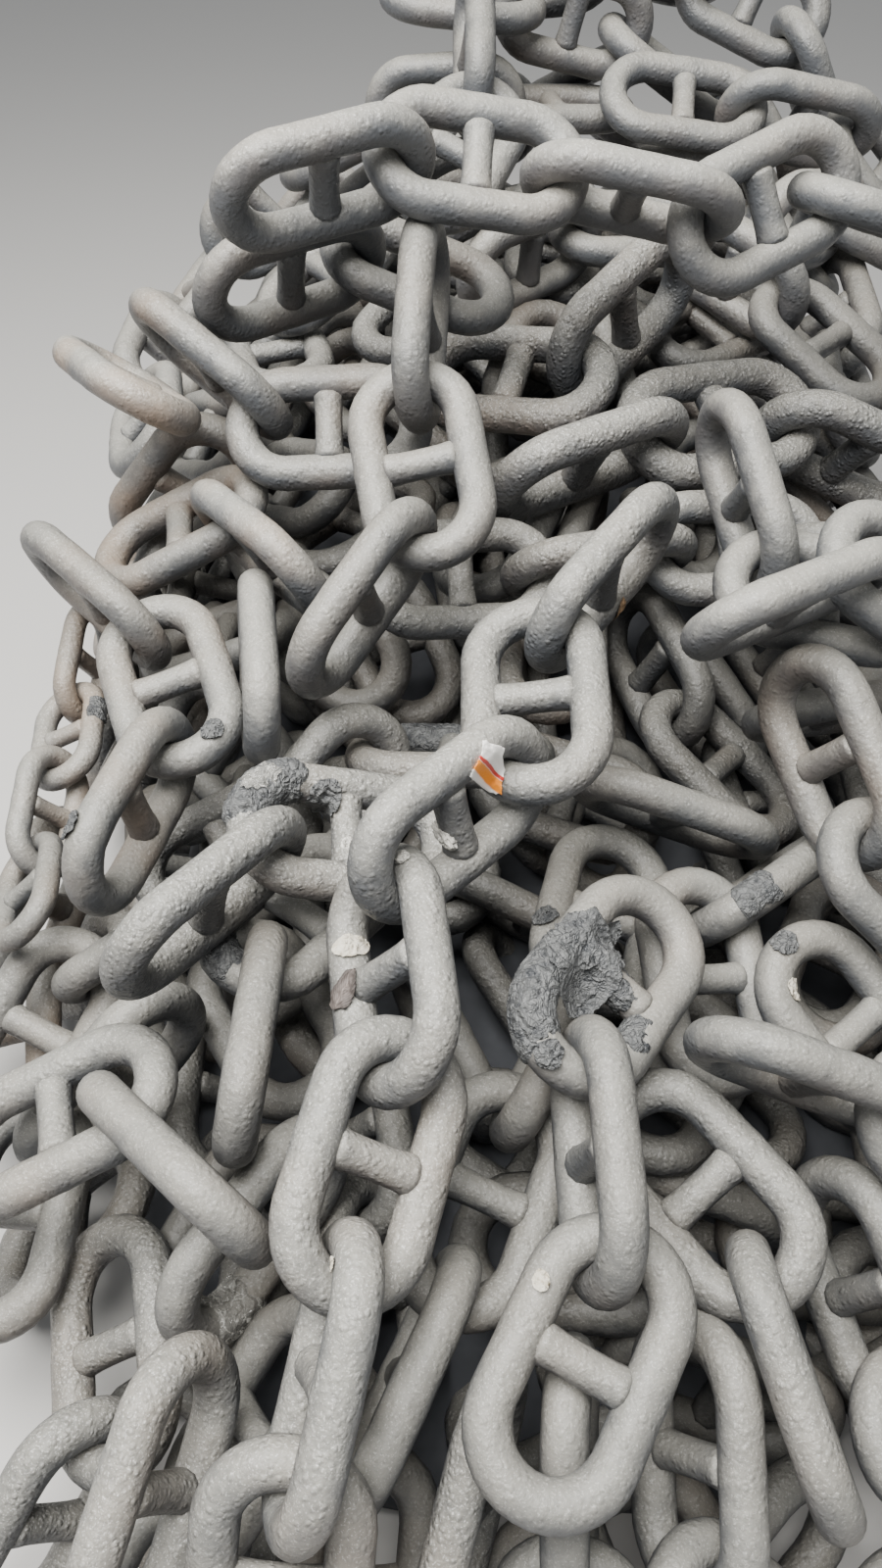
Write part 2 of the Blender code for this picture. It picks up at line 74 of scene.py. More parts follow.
SIDE_OFFSET = 0.5 * (LINK_WIDTH - BAR_DIAMETER)
HALF_STRAIGHT = 0.5 * (LINK_LENGTH - LINK_WIDTH)
SOLID_CORNER = BAR_DIAMETER / (1.0 + math.cos(math.pi / SOLID_SIDES))
SOLID_FLAT = SOLID_CORNER * math.cos(math.pi / SOLID_SIDES)
SOLID_STUD_LENGTH = 2.0 * (SIDE_OFFSET - SOLID_FLAT)
EDGE_TOLERANCE = 0.00025
EDGE_GRID = 0.0005

# The photograph's view: where it was taken from, its tilt, and its focal length in its own pixels.
IMAGE_WIDTH = 900
IMAGE_HEIGHT = 1600
VIEW_PLACE = (-0.12, -1.50, 1.65)
VIEW_TILT = math.radians(45.0)
VIEW_FOCAL = 1208.0
SENSOR = 36.0

# The stage: half the floor's side, and the softbox's place, aim and sides.
FLOOR_HALF = 12.0
SOFTBOX_PLACE = (-0.9, -0.9, 3.5)
SOFTBOX_AIM = (0.0, 0.15, 0.5)
SOFTBOX_SIDES = (2.8, 2.0)
SOFTBOX_COLOUR = (1.0, 0.985, 0.96)
SKY_COLOUR = (0.93, 0.96, 1.0, 1.0)

# Seeds of the random draws.
RUN_SEED = 41
BURIED_SEED = 7
FILM_SEED = 100
SCRAP_SEED = 300
LUMP_SEED = 600
SEED_STEP = 7


def tint(name, description, default):
    """Return a colour property."""
    return bpy.props.FloatVectorProperty(name=name, description=description, subtype="COLOR",
                                         default=default, min=0.0, max=1.0)


def measure(name, description, default):
    """Return a length property."""
    return bpy.props.FloatProperty(name=name, description=description, default=default,
                                   unit="LENGTH")


def number(name, description, default, least, most):
    """Return a property for a count."""
    return bpy.props.IntProperty(name=name, description=description, default=default,
                                 min=least, max=most)


class ChainLook(bpy.types.PropertyGroup):
    """Sizes and colours of the links."""

    bar_scale: bpy.props.FloatProperty(
        name="Bar scale", description="Thickness of the round bar beside the solid one",
        default=0.985, min=0.9, max=1.0)
    rings: number("Rings", "Rings round a link's middle line", 52, 16, 96)
    sides: number("Sides", "Sides of a bar's section", 20, 8, 32)
    # The dust goes on the upward faces and the bare steel below them: partly real dust, partly
    # painted top light and underside shade.
    dust: tint("Dust", "Colour of the dry dust on the links", (0.252, 0.246, 0.219))
    steel: tint("Bare steel", "Colour of the steel under the dust", (0.062, 0.066, 0.072))
    rust: tint("Rust", "Colour of the faint rust", (0.270, 0.185, 0.120))


class BuriedLook(bpy.types.PropertyGroup):
    """How the heap is filled under the runs that show."""

    allowance: measure("Allowance", "How far a buried link may stand above the solid core", 0.070)
    rings: number("Rings", "Rings round a buried link", 32, 12, 64)
    sides: number("Sides", "Sides of a buried bar", 12, 6, 24)
    middle_depth: measure("Middle depth",
                          "Depth of the dark middle under the core's surface", 0.27)
    middle_inset: measure("Middle inset",
                          "How far the dark middle's foot lies inside the core's", 0.17)


class LitterLook(bpy.types.PropertyGroup):
    """Colours of the film and the litter."""

    film: tint("Film", "Colour of the black film under its dust", (0.026, 0.029, 0.034))
    paper: tint("Paper", "Colour of the pale scraps", (0.60, 0.57, 0.48))
    leaf: tint("Leaf", "Colour of the dry leaf", (0.27, 0.17, 0.09))
    pod: tint("Pod", "Colour of the dull dry pod", (0.120, 0.100, 0.090))


class StageLook(bpy.types.PropertyGroup):
    """The floor and the light."""

    floor: tint("Floor", "Colour of the plain floor", (0.52, 0.51, 0.49))
    sky: bpy.props.FloatProperty(
        name="Sky", description="Strength of the light from all round", default=0.45)
    softbox: bpy.props.FloatProperty(
        name="Softbox", description="Power of the large soft light", default=400.0, unit="POWER")


# Colours of the finishes' marks.
PIT_COLOUR = (0.075, 0.076, 0.078)
# Painted highlight on the tops of the blisters.
BLISTER_HIGHLIGHT_COLOUR = (0.46, 0.45, 0.42)
# Painted glints on upward faces.
GLINT_COLOUR = (0.66, 0.65, 0.62)
SPECK_COLOUR = (0.070, 0.070, 0.070)
SHADE_DARK = (0.040, 0.043, 0.049)
SHADE_LIGHT = (0.085, 0.089, 0.098)
# The film's dust, which also serves as painted light on its facets.
FILM_DUST_AND_FACET_LIGHT = (0.145, 0.148, 0.146)
# Painted shade in the film's folds.
FILM_FOLD_SHADE = (0.012, 0.013, 0.016)
CLEAR_FILM = (0.50, 0.49, 0.45, 1.0)
PAPER_STAIN = (0.33, 0.27, 0.18)
FOIL_COLOUR = (0.62, 0.60, 0.54)
FOIL_STAIN = (0.30, 0.29, 0.27)
WRAPPER_WHITE = (0.78, 0.76, 0.72)
WRAPPER_ORANGE = (0.85, 0.27, 0.02)
WRAPPER_RED = (0.50, 0.03, 0.02)


# Shader maths.


def _maths(operation, swapped=False):
    """Return a method that adds one Math node on a wire and another value."""
    def method(self, other):
        pair = (other, self) if swapped else (self, other)
        return self.finish.add("ShaderNodeMath", {"operation": operation}, dict(enumerate(pair)))
    return method


class Wire:
    """One output of a shader tree. Arithmetic on it adds the Math nodes."""

    def __init__(self, finish, socket):
        self.finish = finish
        self.socket = socket

    __add__ = _maths("ADD")
    __radd__ = _maths("ADD", True)
    __sub__ = _maths("SUBTRACT")
    __rsub__ = _maths("SUBTRACT", True)
    __mul__ = _maths("MULTIPLY")
    __rmul__ = _maths("MULTIPLY", True)

    def step(self, low, high):
        """0 at low, 1 at high and smooth between them."""
        settings = {"interpolation_type": "SMOOTHSTEP"}
        values = {"Value": self, "From Min": low, "From Max": high}
        return self.finish.add("ShaderNodeMapRange", settings, values)


class Finish:
    """A material and its shader tree."""

    def __init__(self, name, roughness, metallic=0.0):
        self.material = bpy.data.materials.new(name)
        self.material.use_nodes = True
        self.nodes = self.material.node_tree.nodes
        self.links = self.material.node_tree.links
        self.shader = self.nodes["Principled BSDF"]
        self.shader.inputs["Roughness"].default_value = roughness
        self.shader.inputs["Metallic"].default_value = metallic
        self.place = self.add("ShaderNodeTexCoord", {}, {}, "Object")

    def add(self, kind, settings, values, output=0):
        """Add a node of a type, with its settings, and values or wires on its sockets."""
        node = self.nodes.new(kind)
        for key, value in settings.items():
            setattr(node, key, value)
        for key, value in values.items():
            if isinstance(value, Wire):
                self.links.new(value.socket, node.inputs[key])
            else:
                node.inputs[key].default_value = value
        return Wire(self, node.outputs[output])

    def noise(self, scale, detail=2.0, roughness=0.5, distortion=0.0):
        """Smooth noise on object coordinates, about 0.5."""
        values = {"Vector": self.place, "Scale": scale, "Detail": detail,
                  "Roughness": roughness, "Distortion": distortion}
        return self.add("ShaderNodeTexNoise", {}, values, "Fac")

    def cells(self, scale):
        """Distance to the nearest of scattered points, on object coordinates."""
        values = {"Vector": self.place, "Scale": scale}
        return self.add("ShaderNodeTexVoronoi", {}, values, "Distance")

    def creases(self, scale, bend, output="Distance", feature="DISTANCE_TO_EDGE"):
        """Distance to the walls between scattered cells, whose walls a noise has bent."""
        wander = self.add("ShaderNodeTexNoise", {}, {"Vector": self.place, "Scale": 0.35 * scale,
                                                     "Detail": 2.0}, "Color")
        off = self.add("ShaderNodeVectorMath", {"operation": "SCALE"},
                       {0: wander, "Scale": bend / scale})
        bent = self.add("ShaderNodeVectorMath", {"operation": "ADD"}, {0: self.place, 1: off})
        values = {"Vector": bent, "Scale": scale}
        return self.add("ShaderNodeTexVoronoi", {"feature": feature}, values, output)

    def facets(self, scale, bend):
        """A tone between 0 and 1 for each of the same cells."""
        colour = self.creases(scale, bend, "Color", "F1")
        return self.add("ShaderNodeSeparateColor", {}, {0: colour}, 0)

    def attribute(self, name):
        """A number that the mesh holds at each vertex."""
        return self.add("ShaderNodeAttribute", {"attribute_name": name}, {}, "Fac")

    def upward(self):
        """The upward share of the surface's normal."""
        normal = self.add("ShaderNodeNewGeometry", {}, {}, "Normal")
        return self.add("ShaderNodeSeparateXYZ", {}, {0: normal}, "Z")

    def mix(self, share, first, second, blend="MIX"):
        """Blend two colours."""
        settings = {"data_type": "RGBA", "blend_type": blend}
        values = {0: share, 6: _colour(first), 7: _colour(second)}
        return self.add("ShaderNodeMix", settings, values, 2)

    def bump(self, height, strength, distance):
        """A normal from a height in metres over the distance."""
        values = {"Height": height, "Strength": strength, "Distance": distance}
        return self.add("ShaderNodeBump", {}, values)

    def surface(self):
        """The piece's own flat map: across and along."""
        both = self.add("ShaderNodeUVMap", {"uv_map": "surface"}, {})
        return [self.add("ShaderNodeSeparateXYZ", {}, {0: both}, part) for part in "XY"]

    def to(self, socket, wire):
        """Feed one socket of the shader."""
        self.links.new(wire.socket, self.shader.inputs[socket])

    def done(self, colour, normal):
        """Feed the colour and the normal, and return the material."""
        self.to("Base Color", colour)
        self.to("Normal", normal)
        return self.material


def _colour(value):
    """Return a wire as it is, and three numbers with a fourth."""
    return value if isinstance(value, Wire) else (*value[:3], 1.0)


def steel_finish(look):
    """Dusty forged steel: warm dust on top and blue-grey below, partly painted top light and
    underside shade; dents, painted blister highlights and glints, and faint rust.
    """
    finish = Finish("dusty_forged_steel", 0.5, 0.0)
    pitting = finish.attribute("pitting")
    rusting = finish.attribute("rusting")
    tone_and_depth_shade = finish.attribute("tone_and_depth_shade")
    broad = finish.noise(7.0, 3.0)
    patch = finish.noise(42.0, 3.0, 0.6)
    grain = finish.noise(300.0, 3.0, 0.65)
    fleck = finish.noise(430.0, 1.0)
    hollow = finish.noise(120.0, 2.0, 0.5, 0.3)
    some = finish.noise(55.0, 1.0).step(0.38, 0.58)
    blister = (1.0 - finish.cells(125.0).step(0.10, 0.58)) * some
    # Lighter on upward faces, darker below: partly real dust, partly painted top light and
    # underside shade.
    dust_and_top_light = (finish.upward() * 0.85 + patch * 0.7 + broad * 0.5).step(0.45, 1.55)
    colour = finish.mix(dust_and_top_light, look.steel, look.dust)
    warm = ((broad - 0.35) * (0.25 + rusting) * 1.9).step(0.0, 1.0)
    colour = finish.mix(warm * 0.75, colour, look.rust)
    dark = (1.0 - hollow.step(0.28, 0.50)) * (0.08 + 0.60 * pitting)
    colour = finish.mix(dark * 0.55, colour, PIT_COLOUR)
    # Painted highlight: the blisters' tops are lighter on upward faces.
    painted_blister_highlight = blister * (0.05 + 0.75 * pitting) * dust_and_top_light
    colour = finish.mix(painted_blister_highlight * 0.55, colour, BLISTER_HIGHLIGHT_COLOUR)
    # Painted glints: pale flecks on upward faces, where the roughness is a little lower too.
    light = fleck.step(0.60, 0.68) * (0.30 + 0.6 * pitting) * dust_and_top_light
    colour = finish.mix(light * 0.75, colour, GLINT_COLOUR)
    speck = 1.0 - grain.step(0.26, 0.40)
    colour = finish.mix(speck * 0.30, colour, SPECK_COLOUR)
    # Each link's tone: random on the runs, and lower on the buried links as painted shade deep in
    # the heap.
    tone = tone_and_depth_shade * (0.80 + 0.40 * grain)
    grey = finish.add("ShaderNodeCombineColor", {}, {0: tone, 1: tone, 2: tone})
    colour = finish.mix(1.0, colour, grey, "MULTIPLY")
    finish.to("Roughness", 0.34 + 0.20 * patch + 0.08 * dust_and_top_light - 0.12 * light)
    height = (grain * 0.25 + patch * 0.5 + fleck * 0.06
              + (0.30 + pitting) * (hollow * 1.2 + blister * 0.85))
    finish.shader.inputs["Specular IOR Level"].default_value = 0.55
    return finish.done(colour, finish.bump(height, 0.62, 0.0036))


def shade_finish():
    """The dark between the buried links."""
    finish = Finish("shade_between_links", 0.95)
    tone = finish.noise(30.0, 2.0)
    finish.to("Base Color", finish.mix(tone, SHADE_DARK, SHADE_LIGHT))
    return finish.material


def film_finish(look):
    """Dusty black film: facets of dull grey, partly dust and partly painted facet light, with dark
    folds of painted shade between them.
    """
    finish = Finish("dusty_black_film", 0.45)
    fold = finish.attribute("crease")
    fine = finish.noise(420.0, 3.0, 0.6, 0.8)
    broad = finish.noise(38.0, 3.0, 0.6)
    wall = finish.creases(62.0, 4.5)
    thin = finish.creases(170.0, 5.0)
    facet = finish.facets(62.0, 4.5) * 0.6 + finish.facets(170.0, 5.0) * 0.4
    # Lighter on the crinkles' ridges and by a tone per facet: partly dust, partly painted facet
    # light.
    dusty = (fold * 0.45 + facet * 0.55 + broad * 0.8).step(0.35, 1.25)
    colour = finish.mix(dusty, look.film, FILM_DUST_AND_FACET_LIGHT)
    # Painted shade: dark lines along the folds.
    dark = (1.0 - wall.step(0.0, 0.07)) * broad.step(0.35, 0.6)
    colour = finish.mix(dark * 0.85, colour, FILM_FOLD_SHADE)
    finish.to("Roughness", 0.34 + 0.34 * dusty)
    height = wall.step(0.0, 0.6) * (0.6 + facet) + thin * 0.9 + fine * 0.1
    return finish.done(colour, finish.bump(height, 1.0, 0.0045))


def clear_film_finish():
    """Clear film, dusty in places: bright on its creases and see-through between them."""
    finish = Finish("clear_dusty_film", 0.14)
    wall = finish.creases(55.0, 4.0)
    thin = finish.creases(150.0, 5.0)
    line = (1.0 - wall.step(0.0, 0.09)) * 0.8 + (1.0 - thin.step(0.0, 0.07)) * 0.4
    finish.shader.inputs["Base Color"].default_value = CLEAR_FILM
    finish.shader.inputs["Specular IOR Level"].default_value = 0.9
    finish.to("Alpha", 0.28 + 0.50 * line.step(0.0, 1.0))
    finish.to("Normal", finish.bump(wall.step(0.0, 0.6) + thin * 0.8, 1.0, 0.005))
    return finish.material


def paper_finish(name, base, stain, roughness):
    """Crumpled paper or foil, stained in patches, with a tone per crumple facet as painted facet
    light.
    """
    finish = Finish(name, roughness)
    patch = finish.noise(95.0, 4.0, 0.7).step(0.45, 0.68)
    facet = finish.facets(120.0, 4.0)
    wall = finish.creases(120.0, 4.0)
    # Stain in patches, and a tone per facet as painted facet light.
    colour = finish.mix(patch * 0.65 + facet * 0.35, base, stain)
    return finish.done(colour, finish.bump(wall.step(0.0, 0.5) * (0.5 + facet), 0.9, 0.0022))


def wrapper_finish():
    """A sweet's wrapper: white, with bands of orange and a red edge."""
    finish = Finish("sweet_wrapper_print", 0.3)
    across, height = finish.surface()
    wave = height + 0.25 * across + 0.10 * finish.noise(60.0)
    orange = wave.step(0.24, 0.30) * (1.0 - wave.step(0.58, 0.62))
    colour = finish.mix(orange, WRAPPER_WHITE, WRAPPER_ORANGE)
    red = wave.step(0.60, 0.63) * (1.0 - wave.step(0.72, 0.75))
    colour = finish.mix(red, colour, WRAPPER_RED)
    return finish.done(colour, finish.bump(finish.noise(300.0, 3.0, 0.6, 0.8), 0.5, 0.001))


def leaf_finish(name, base):
    """A dry leaf: darker to its edge, with a pale rib and side veins."""
    finish = Finish(name, 0.7)
    across, along = finish.surface()
    off = finish.add("ShaderNodeMath", {"operation": "ABSOLUTE"}, {0: across - 0.5})
    rib = 1.0 - off.step(0.015, 0.04)
    veins = finish.add("ShaderNodeMath", {"operation": "SINE"}, {0: (along - off) * 62.0})
    edge = [0.45 * part for part in base]
    pale = [1.7 * part for part in base]
    colour = finish.mix(off.step(0.1, 0.5), base, edge)
    colour = finish.mix(rib * 0.8, colour, pale)
    colour = finish.mix(veins.step(0.8, 1.0) * 0.5, colour, pale)
    return finish.done(colour, finish.bump(veins * 0.3 + finish.noise(200.0, 3.0), 0.5, 0.001))


def floor_finish(look):
    """A plain pale floor."""
    finish = Finish("pale_floor", 0.9)
    finish.shader.inputs["Base Color"].default_value = (*look.floor, 1.0)
    return finish.material


# Meshes.


def make_piece(name, points, quads, fans, material, values=None):
    """Return an object at the origin from points, four-cornered faces and three-cornered ones."""
    mesh = bpy.data.meshes.new(name)
    mesh.vertices.add(len(points))
    mesh.vertices.foreach_set("co", np.ascontiguousarray(points, np.float32).ravel())
    corners = np.concatenate([quads.ravel(), fans.ravel()]).astype(np.int32)
    starts = np.concatenate([np.arange(len(quads)) * 4,
                             4 * len(quads) + np.arange(len(fans)) * 3]).astype(np.int32)
    mesh.loops.add(len(corners))
    mesh.loops.foreach_set("vertex_index", corners)
    mesh.polygons.add(len(starts))
    mesh.polygons.foreach_set("loop_start", starts)
    mesh.update(calc_edges=True)
    mesh.validate()
    for key, value in (values or {}).items():
        store = mesh.attributes.new(key, "FLOAT", "POINT")
        store.data.foreach_set("value", np.ascontiguousarray(value, np.float32))
    mesh.shade_smooth()
    mesh.materials.append(material)
    item = bpy.data.objects.new(name, mesh)
    bpy.context.scene.collection.objects.link(item)
    return item


def ring_faces(rings, sides, closed):
    """Faces of a grid of rings whose sides close up, and whose rings do where closed is true."""
    count = rings if closed else rings - 1
    ring, side = np.meshgrid(np.arange(count), np.arange(sides), indexing="ij")
    after = (ring + 1) % rings
    beside = (side + 1) % sides
    corners = [ring * sides + side, after * sides + side,
               after * sides + beside, ring * sides + beside]
    return np.stack(corners, axis=-1).reshape(-1, 4)


def closed_skin(rings, sides):
    """Faces of rings from end to end, and fans at the ends.

    The points are the rings in order, then the middle of the first end and of the last.
    """
    side = np.arange(sides)
    beside = (side + 1) % sides
    last = (rings - 1) * sides
    first_fan = np.stack([side, beside, np.full(sides, rings * sides)], axis=-1)
    last_fan = np.stack([last + beside, last + side, np.full(sides, rings * sides + 1)], axis=-1)
    return ring_faces(rings, sides, False), np.concatenate([first_fan, last_fan])


def link_line(turns):
    """Middle line of a link at shares of the way round, with its outward direction.

    The line is a stadium: sides |x| = w for |y| < h, and crowns of radius w about (0, h) and
    (0, -h). It starts at (w, 0) and runs towards +y.
    """
    quarter = 0.5 * math.pi * SIDE_OFFSET
    whole = 4.0 * (HALF_STRAIGHT + quarter)
    way = np.mod(turns, 1.0) * whole
    upper = way < 0.5 * whole
    half = np.where(upper, way, way - 0.5 * whole)
    angle = np.clip((half - HALF_STRAIGHT) / SIDE_OFFSET, 0.0, math.pi)
    rise = np.where(half < HALF_STRAIGHT, half,
                    np.where(half < HALF_STRAIGHT + 2.0 * quarter, HALF_STRAIGHT,
                             2.0 * HALF_STRAIGHT + 2.0 * quarter - half))
    x = SIDE_OFFSET * np.cos(angle)
    y = rise + SIDE_OFFSET * np.sin(angle)
    turn = np.where(upper, 1.0, -1.0)
    line = np.stack([x * turn, y * turn, np.zeros_like(x)], axis=-1)
    outward = np.stack([np.cos(angle) * turn, np.sin(angle) * turn, np.zeros_like(x)], axis=-1)
    return line, outward


class Places:
    """Where links lie: their middles, axes (across, along, out of plane) and sizes."""

    def __init__(self, middles, axes, sizes):
        self.middles = np.asarray(middles, float).reshape(-1, 3)
        self.axes = np.asarray(axes, float).reshape(-1, 3, 3)
        self.sizes = np.asarray(sizes, float).reshape(-1)

    def put(self, points):
        """Return points in a link's own frame, moved to every link: an array per link."""
        grown = points * self.sizes[:, None, None]
        return np.einsum("kpi,kij->kpj", grown, self.axes) + self.middles[:, None, :]

    def __len__(self):
        return len(self.sizes)


# A bar's unevenness: height as a share of its radius, turns round the link and round the section.
BAR_WAVES = ((0.010, 2.0, 1.0), (0.008, 5.0, -2.0), (0.006, 9.0, 3.0), (0.006, 13.0, 0.0))
WAVE_DRAWS = 5
# The weld: its height as a share of the radius, and its width as a share of the way round.
WELD_HEIGHT = 0.022
WELD_WIDTH = 0.012


def bar_points(places, rings, sides, scale, rng):
    """Points on the round bars: c(u) + r (n(u) cos v + z sin v), r uneven by about one percent."""
    turns = np.arange(rings) / rings
    line, outward = link_line(turns)
    angle = 2.0 * math.pi * np.arange(sides) / sides
    wave = rng.uniform(0.0, 2.0 * math.pi, (len(places), WAVE_DRAWS, 1, 1))
    round_way = (2.0 * math.pi * turns)[None, :, None]
    section = angle[None, None, :]
    radius = 1.0
    for k, (rise, along, about) in enumerate(BAR_WAVES):
        radius = radius + rise * np.sin(along * round_way + about * section + wave[:, k])
    weld = np.exp(-((np.mod(turns + 0.5, 1.0) - 0.5) / WELD_WIDTH) ** 2)[None, :, None]
    radius = 0.5 * BAR_DIAMETER * scale * (radius + WELD_HEIGHT * weld)
    across = line[None, :, None, :] + radius[..., None] * (
        outward[None, :, None, :] * np.cos(angle)[None, None, :, None]
        + np.array((0.0, 0.0, 1.0)) * np.sin(angle)[None, None, :, None])
    return places.put(across.reshape(len(places), rings * sides, 3))


STUD_PROFILE = (
    (-0.0600, 0.0120), (-0.0486, 0.0150), (-0.0474, 0.0186), (-0.0450, 0.0209),
    (-0.0415, 0.0217), (-0.0370, 0.0212), (-0.0280, 0.0202), (-0.0140, 0.0197),
    (0.0, 0.0196), (0.0140, 0.0197), (0.0280, 0.0202), (0.0370, 0.0212),
    (0.0415, 0.0217), (0.0450, 0.0209), (0.0474, 0.0186), (0.0486, 0.0150), (0.0600, 0.0120))


def stud_points(places, sides):
    """Points on the studs: a round bar across the link that flares to a lip at each end."""
    profile = np.array(STUD_PROFILE)
    angle = 2.0 * math.pi * np.arange(sides) / sides
    x = np.repeat(profile[:, 0], sides)
    radius = np.repeat(profile[:, 1], sides)
    turn = np.tile(angle, len(profile))
    ring = np.stack([x, radius * np.cos(turn), radius * np.sin(turn)], axis=-1)
    caps = np.array(((profile[0, 0], 0.0, 0.0), (profile[-1, 0], 0.0, 0.0)))
    return places.put(np.concatenate([ring, caps]))


def link_piece(name, places, rings, sides, scale, values, material, rng):
    """Return one object with every link of a run: its bar and its stud."""
    bars = bar_points(places, rings, sides, scale, rng)
    stud_sides = max(8, 2 * (sides // 3))
    studs = stud_points(places, stud_sides)
    count = len(places)
    bar_quads = ring_faces(rings, sides, True)
    profile = len(STUD_PROFILE)
    stud_quads, stud_fans = closed_skin(profile, stud_sides)
    bar_size = rings * sides
    stud_size = profile * stud_sides + 2
    bar_starts = (np.arange(count) * bar_size)[:, None, None]
    stud_starts = (count * bar_size + np.arange(count) * stud_size)[:, None, None]
    quads = np.concatenate([(bar_quads[None] + bar_starts).reshape(-1, 4),
                            (stud_quads[None] + stud_starts).reshape(-1, 4)])
    fans = (stud_fans[None] + stud_starts).reshape(-1, 3)
    points = np.concatenate([bars.reshape(-1, 3), studs.reshape(-1, 3)])
    spread = {key: np.concatenate([np.repeat(value, bar_size), np.repeat(value, stud_size)])
              for key, value in values.items()}
    return make_piece(name, points, quads, fans, material, spread)


# The links' places, read from the frame.


def corners_of(item):
    """Return the vertices of a node or a piece, and its triangles, as arrays."""
    mesh = item.data
    mesh.calc_loop_triangles()
    points = np.empty(3 * len(mesh.vertices), np.float32)
    mesh.vertices.foreach_get("co", points)
    corners = np.empty(3 * len(mesh.loop_triangles), np.int32)
    mesh.loop_triangles.foreach_get("vertices", corners)
    return points.reshape(-1, 3).astype(float), corners.reshape(-1, 3)


def link_places(node):
    """Return the places of a run's links, from the four long edges of each plain stud."""
    points, faces = corners_of(node)
    edges = np.concatenate([faces[:, (0, 1)], faces[:, (1, 2)], faces[:, (2, 0)]])
    start = points[edges[:, 0]]
    end = points[edges[:, 1]]
    length = np.linalg.norm(end - start, axis=1)
    middles = []
    axes = []
    sizes = []
    for size in LINK_SIZES:
        picked = np.abs(length - SOLID_STUD_LENGTH * size) < EDGE_TOLERANCE
        if not picked.any():
            continue
        middle = 0.5 * (start + end)[picked]
        span = (end - start)[picked]
        span /= np.linalg.norm(span, axis=1)[:, None]
        keys = np.unique(np.round(middle / EDGE_GRID).astype(int), axis=0, return_index=True)[1]
        middle = middle[keys]
        span = span[keys]
        left = list(range(len(middle)))
        while left:
            first = left[0]
            near = [k for k in left
                    if np.linalg.norm(middle[k] - middle[first]) < 0.9 * BAR_DIAMETER * size
                    and abs(span[k] @ span[first]) > 0.999]
            left = [k for k in left if k not in near]
            four = distinct(middle[near])
            if len(four) != 4:
                continue
            gaps = np.linalg.norm(four - four[0], axis=1)
            mate = int(np.argmin(np.abs(gaps - SOLID_STUD_WIDTH * size)))
            across = span[first]
            along = four[mate] - four[0]
            along -= across * (along @ across)
            along /= np.linalg.norm(along)
            middles.append(four.mean(axis=0))
            axes.append((across, along, np.cross(across, along)))
            sizes.append(size)
    if not sizes:
        raise RuntimeError(f"no link was found in {node.name}")
    return Places(middles, axes, sizes)


def distinct(points):
    """Return the points that lie over a millimetre apart."""
    kept = []
    for point in points:
        if all(np.linalg.norm(point - other) > 0.001 for other in kept):
            kept.append(point)
    return np.array(kept)


# How pitted and how rusty a run is, where the photograph shows it: the rest are mild.
PITTED_RUNS = {
    "heavy_pitted_link": 1.0, "right_pitted_ring": 1.0, "upper_pitted_chain": 0.6,
    "front_pitted_bar": 0.8,
    "left_sloping_bars": 0.75, "front_left_pitted": 0.7, "front_left_bar": 0.5,
    "front_right_hook": 0.45, "centre_chain": 0.42, "middle_tilted": 0.55,
}
RUSTY_RUNS = {
    "upper_left_long": 0.9, "upper_left_ring": 0.8, "upper_left_bar": 0.8,
    "upper_left_face": 0.6, "small_chain_left": 0.7, "left_upper_sweep": 0.5,
    "left_foot": 0.7, "heavy_pitted_link": 0.4,
}
MILD_PITTING = 0.12
MILD_RUSTING = 0.15
RUN_SHADES = (0.80, 1.10)
# The buried links' tones lie lower than the runs': painted shade deep in the heap.
BURIED_SHADES = (0.55, 0.85)
CORE_NODE = "heap_core"


def run_nodes():
    """Return the frame's nodes that are runs of links."""
    return {name: node for name, node in sorted(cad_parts.items()) if name != CORE_NODE}


class Heap:
    """What the operators share: the links' places, their steel, and a tree of all the links."""

    places = {}
    steel = None
    tree = None


# Buried runs.


